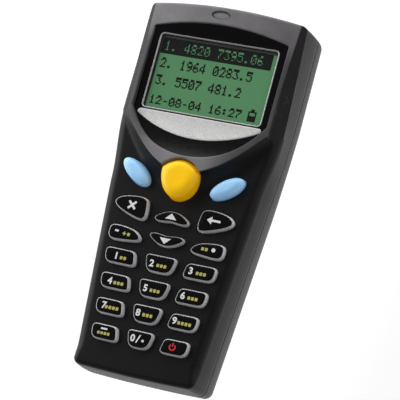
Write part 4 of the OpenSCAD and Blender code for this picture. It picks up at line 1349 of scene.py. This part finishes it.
def build_door():
    b = prism_mesh(rounded_rect(25.2, 54.4, 1.0, 0, -25.2, k=8, most=2.0), 0.25, 1.85, bevel=0.22)
    grips = []
    for i in range(4):
        y = -41.05 + 1.6 * i
        w = rounded_rect(14.5, 1.1, 0.5, 0, y, k=6, most=9)
        grips.append(lofted([(-1, w), (0.25, w), (0.37, inset(w, 0.2)), (0.6, inset(w, 0.3))]))
    slot = rounded_rect(5.2, 5.2, 0.3, 0, -47.4, k=5, most=9)
    grips.append(lofted([(-1, inset(slot, -0.25)), (0.25, inset(slot, -0.25)), (0.5, slot), (4, slot)]))
    arrow = np.array([(-2.2, -35.4), (0, -37.6), (2.2, -35.4), (1.5, -34.7), (0, -36.2), (-1.5, -34.7)])
    grips.append(prism_mesh(arrow, -1, 0.42))
    b = cut(b, grips)
    arms = []
    for x0, l in ((-12.2, 4.1), (-3.9, 7.8), (8.1, 4.1)):
        plan = [(1.6, 0.27), (2.4, 0.27)] + [(4 + 1.75 * math.cos(t), 2.6 + 1.75 * math.sin(t)) for t in np.radians(np.linspace(-115, 165, 33))] \
            + [(2.2, 1.83), (1.6, 1.83)]
        arm = prism_mesh(np.array(plan), x0, x0 + l, axis="X", bevel=0.1)
        arms.append(arm)
    b = cut(b, arms, "UNION")
    return cut(b, [prism_mesh(circle(0.85, 4, 2.6, 28), -13, 13, axis="X")])


piece("door_panel", build_door(), [BACKP], "door", ["battery_door"], angle=40)


def build_latch():
    b = prism_mesh(rounded_rect(10, 6, 0.5, 0, -49.35, k=6, most=2.0), 1.95, 2.85, bevel=0.12)
    q = rounded_rect(5, 2.9, 0.35, 0, -46.4, k=6, most=9)
    knob = lofted([(0.35, inset(q, 0.2)), (0.41, inset(q, 0.07)), (0.55, q), (2.1, q)])
    ridges = []
    for k in (-0.8, 0, 0.8):
        w = rounded_rect(4.2, 0.42, 0.15, 0, -46.4 + k, k=4, most=9)
        ridges.append(lofted([(0, w), (0.36, w), (0.56, inset(w, 0.12))]))
    return cut(b, [cut(knob, ridges)], "UNION")


piece("latch_slide", build_latch(), [LATCH], "latch", ["door_latch"], angle=40)


def build_screws():
    b = Build()
    for x, y in CASE_SCREWS:
        last = None
        for z, r in ((17.3, 0.35), (16.9, 0.98), (4.55, 1.0), (4.5, 1.05), (4.5, 2.24), (4.44, 2.3), (3.05, 2.3), (2.93, 2.26), (2.84, 2.12), (2.8, 1.9)):
            ring = b.add(circle(r, x, y, 36)[::-1], z)
            if last is None:
                b.f.append(tuple(ring[::-1]))
                b.m.append(0)
            else:
                b.strip(last, ring)
            last = ring
        b.f.append(tuple(ring))
        b.m.append(0)
    me = b.mesh("screws")
    bits = []
    for x, y in CASE_SCREWS:
        c = np.array([(0.3, 0.3), (1.35, 0.3), (1.35, -0.3), (0.3, -0.3), (0.3, -1.35), (-0.3, -1.35), (-0.3, -0.3), (-1.35, -0.3), (-1.35, 0.3),
                      (-0.3, 0.3), (-0.3, 1.35), (0.3, 1.35)])[::-1] + (x, y)
        bits.append(lofted([(2.0, c), (2.85, c), (3.7, (c - (x, y)) * 0.72 + (x, y))]))
    return cut(me, bits)


piece("cross_screws", build_screws(), [SCREW], "casing", ["case_screws"], angle=40)

def build_cell(x, base, way):
    """A cell lying along Y from its flat end at `base`; way = +1 or -1 gives the side its button is on."""
    b = Build()
    a = np.linspace(0, 2 * math.pi, 56, endpoint=False)
    last = None
    for s, r, m in ((0, 3.6, 2), (0.02, 4.1, 2), (0.14, 4.5, 2), (0.2, 4.62, 2), (0.12, 4.75, 0), (0.1, 4.95, 0), (0.22, 5.15, 0), (0.45, 5.24, 0),
                    (34.6, 5.24, 0), (34.62, 5.25, 1), (38.6, 5.25, 1), (38.62, 5.24, 0), (43.1, 5.24, 0), (43.4, 5.14, 0), (43.58, 4.95, 0),
                    (43.6, 4.7, 0), (43.5, 4.6, 2), (43.42, 3.4, 2), (43.42, 2.1, 2), (43.55, 1.92, 2), (44.3, 1.9, 2), (44.44, 1.83, 2), (44.5, 1.65, 2)):
        ring = b.add([(x + r * math.cos(t), base + way * s, 8.35 + r * math.sin(t)) for t in a])
        if last is None:
            b.f.append(tuple(ring[::-1]))
            b.m.append(m)
        else:
            b.strip(last, ring, m)
        last = ring
    b.f.append(tuple(last))
    b.m.append(2)
    return b


piece("cell_a", build_cell(-5.6, -45.9, 1).mesh("cell_a"), [JACKET, BAND, STEEL], "casing", ["cell_left"], angle=40)
piece("cell_b", build_cell(5.6, -4.2, -1).mesh("cell_b"), [JACKET, BAND, STEEL], "casing", ["cell_right"], angle=40)

# plain label in its shallow recess, and the scan window's pane
label = lofted([(0.06, inset(rounded_rect(33.4, 19.4, 1.1, 0, 24.0, k=8, most=2.0), 0.03)), (0.09, rounded_rect(33.4, 19.4, 1.1, 0, 24.0, k=8, most=2.0)),
                (0.165, rounded_rect(33.4, 19.4, 1.1, 0, 24.0, k=8, most=2.0))])
piece("plain_label", label, [LABEL], "casing", angle=30)
w = rounded_rect(34.8, 11.6, 0.8, 0, 10.6, k=6, most=2.0)
piece("scan_pane", prism_mesh(w, -58.0, -56.3, axis="Y", bevel=0.12), [REDWIN], "casing", ["scan_window"], angle=40)


# ------------------------------------------------------------------- floor
def stage():
    me = bpy.data.meshes.new("floor")
    me.from_pydata([(-4, -4, -0.062), (4, -4, -0.062), (4, 4, -0.062), (-4, 4, -0.062)], [], [(0, 1, 2, 3)])
    o = bpy.data.objects.new("floor", me)
    SCENE.collection.objects.link(o)
    m = bpy.data.materials.new("floor")
    m.use_nodes = True
    nt = m.node_tree
    nt.nodes.clear()
    N, L = nt.nodes.new, nt.links.new
    out, mx, tr, ge, ad, df, em = (N("ShaderNodeOutputMaterial"), N("ShaderNodeMixShader"), N("ShaderNodeBsdfTransparent"),
                                   N("ShaderNodeNewGeometry"), N("ShaderNodeAddShader"), N("ShaderNodeBsdfDiffuse"), N("ShaderNodeEmission"))
    df.inputs["Color"].default_value = (0.80, 0.80, 0.80, 1)
    em.inputs["Color"].default_value = (1, 1, 1, 1)
    em.inputs["Strength"].default_value = 0.46
    L(df.outputs[0], ad.inputs[0])
    L(em.outputs[0], ad.inputs[1])
    L(ge.outputs["Backfacing"], mx.inputs[0])
    L(ad.outputs[0], mx.inputs[1])
    L(tr.outputs[0], mx.inputs[2])
    L(mx.outputs[0], out.inputs[0])
    me.materials.append(m)

    w = bpy.data.worlds.new("world")
    SCENE.world = w
    w.use_nodes = True
    nt = w.node_tree
    nt.nodes.clear()
    N, L = nt.nodes.new, nt.links.new
    out, bg, lp, mr = N("ShaderNodeOutputWorld"), N("ShaderNodeBackground"), N("ShaderNodeLightPath"), N("ShaderNodeMapRange")
    L(lp.outputs["Is Camera Ray"], mr.inputs[0])
    mr.inputs[3].default_value, mr.inputs[4].default_value = 0.22, 0.93
    L(mr.outputs[0], bg.inputs["Strength"])
    bg.inputs["Color"].default_value = (1, 1, 1, 1)
    L(bg.outputs[0], out.inputs[0])

    def area(name, at, size, power, to=(0, 0, 0.02)):
        d = bpy.data.lights.new(name, "AREA")
        d.shape, d.size, d.size_y, d.energy = "RECTANGLE", size[0], size[1], power
        l = bpy.data.objects.new(name, d)
        l.location = at
        l.rotation_euler = (Vector(to) - Vector(at)).to_track_quat("-Z", "Y").to_euler()
        l.visible_camera = False
        SCENE.collection.objects.link(l)

    area("soft_left", (-1.6, 0.35, 0.75), (2.0, 1.4), 27)
    area("soft_head", (-0.2, 1.7, 0.62), (2.4, 1.2), 24)
    area("soft_foot", (0.5, -1.5, 1.1), (1.2, 0.8), 1.2)
    area("soft_right", (1.5, 0.6, 0.9), (1.2, 0.9), 4)


stage()

# ------------------------------------------------- materials of CAD nodes
SLOT_MATS = {"front_plastic": BLACK, "back_plastic": BACKP, "gloss_black": GLOSS, "clear_lens": LENS, "silver_trim": SILVER,
             "status_lens": STATUS, "lcd_green": LCD, "diffuser": DIFF, "flex_film": FLEX, "mat_rubber": RUBBER,
             "pcb": PCB, "engine_black": ENGINE, "red_window": REDWIN, "connector": CONN, "steel": STEEL,
             "dark_window": DARKWIN, "seal_rubber": SEAL, "latch_plastic": LATCH, "cell_jacket": JACKET,
             "spring_steel": STEEL, "screw_steel": SCREW, "scan_key": YELLOW, "blue_key": BLUE, "digit_key": KEYTOP}
NODE_MATS = {"front_cover": BLACK, "back_cover": BACKP, "display_bezel": GLOSS, "display_lens": LENS, "trim_plate": SILVER,
             "status_lens": STATUS, "lcd_glass": LCD, "lcd_backlight": DIFF, "lcd_flex": FLEX, "keypad_mat": RUBBER,
             "main_pcb": PCB, "scan_engine": ENGINE, "scan_lens": DARKWIN, "scan_window": REDWIN, "engine_flex": FLEX,
             "board_connector": CONN, "buzzer": ENGINE, "backup_cell": STEEL, "ir_window": DARKWIN, "case_seal": SEAL,
             "battery_door": BACKP, "door_pin": STEEL, "door_latch": LATCH, "cell_left": JACKET, "cell_right": JACKET,
             "cell_springs": STEEL, "cell_contacts": STEEL, "case_screws": SCREW, "pcb_screws": SCREW,
             "key_scan": YELLOW, "key_left": BLUE, "key_right": BLUE}
for n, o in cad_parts.items():
    m = NODE_MATS.get(n, KEYTOP)
    if not o.material_slots:
        o.data.materials.append(m)
    for s in o.material_slots:
        s.material = m
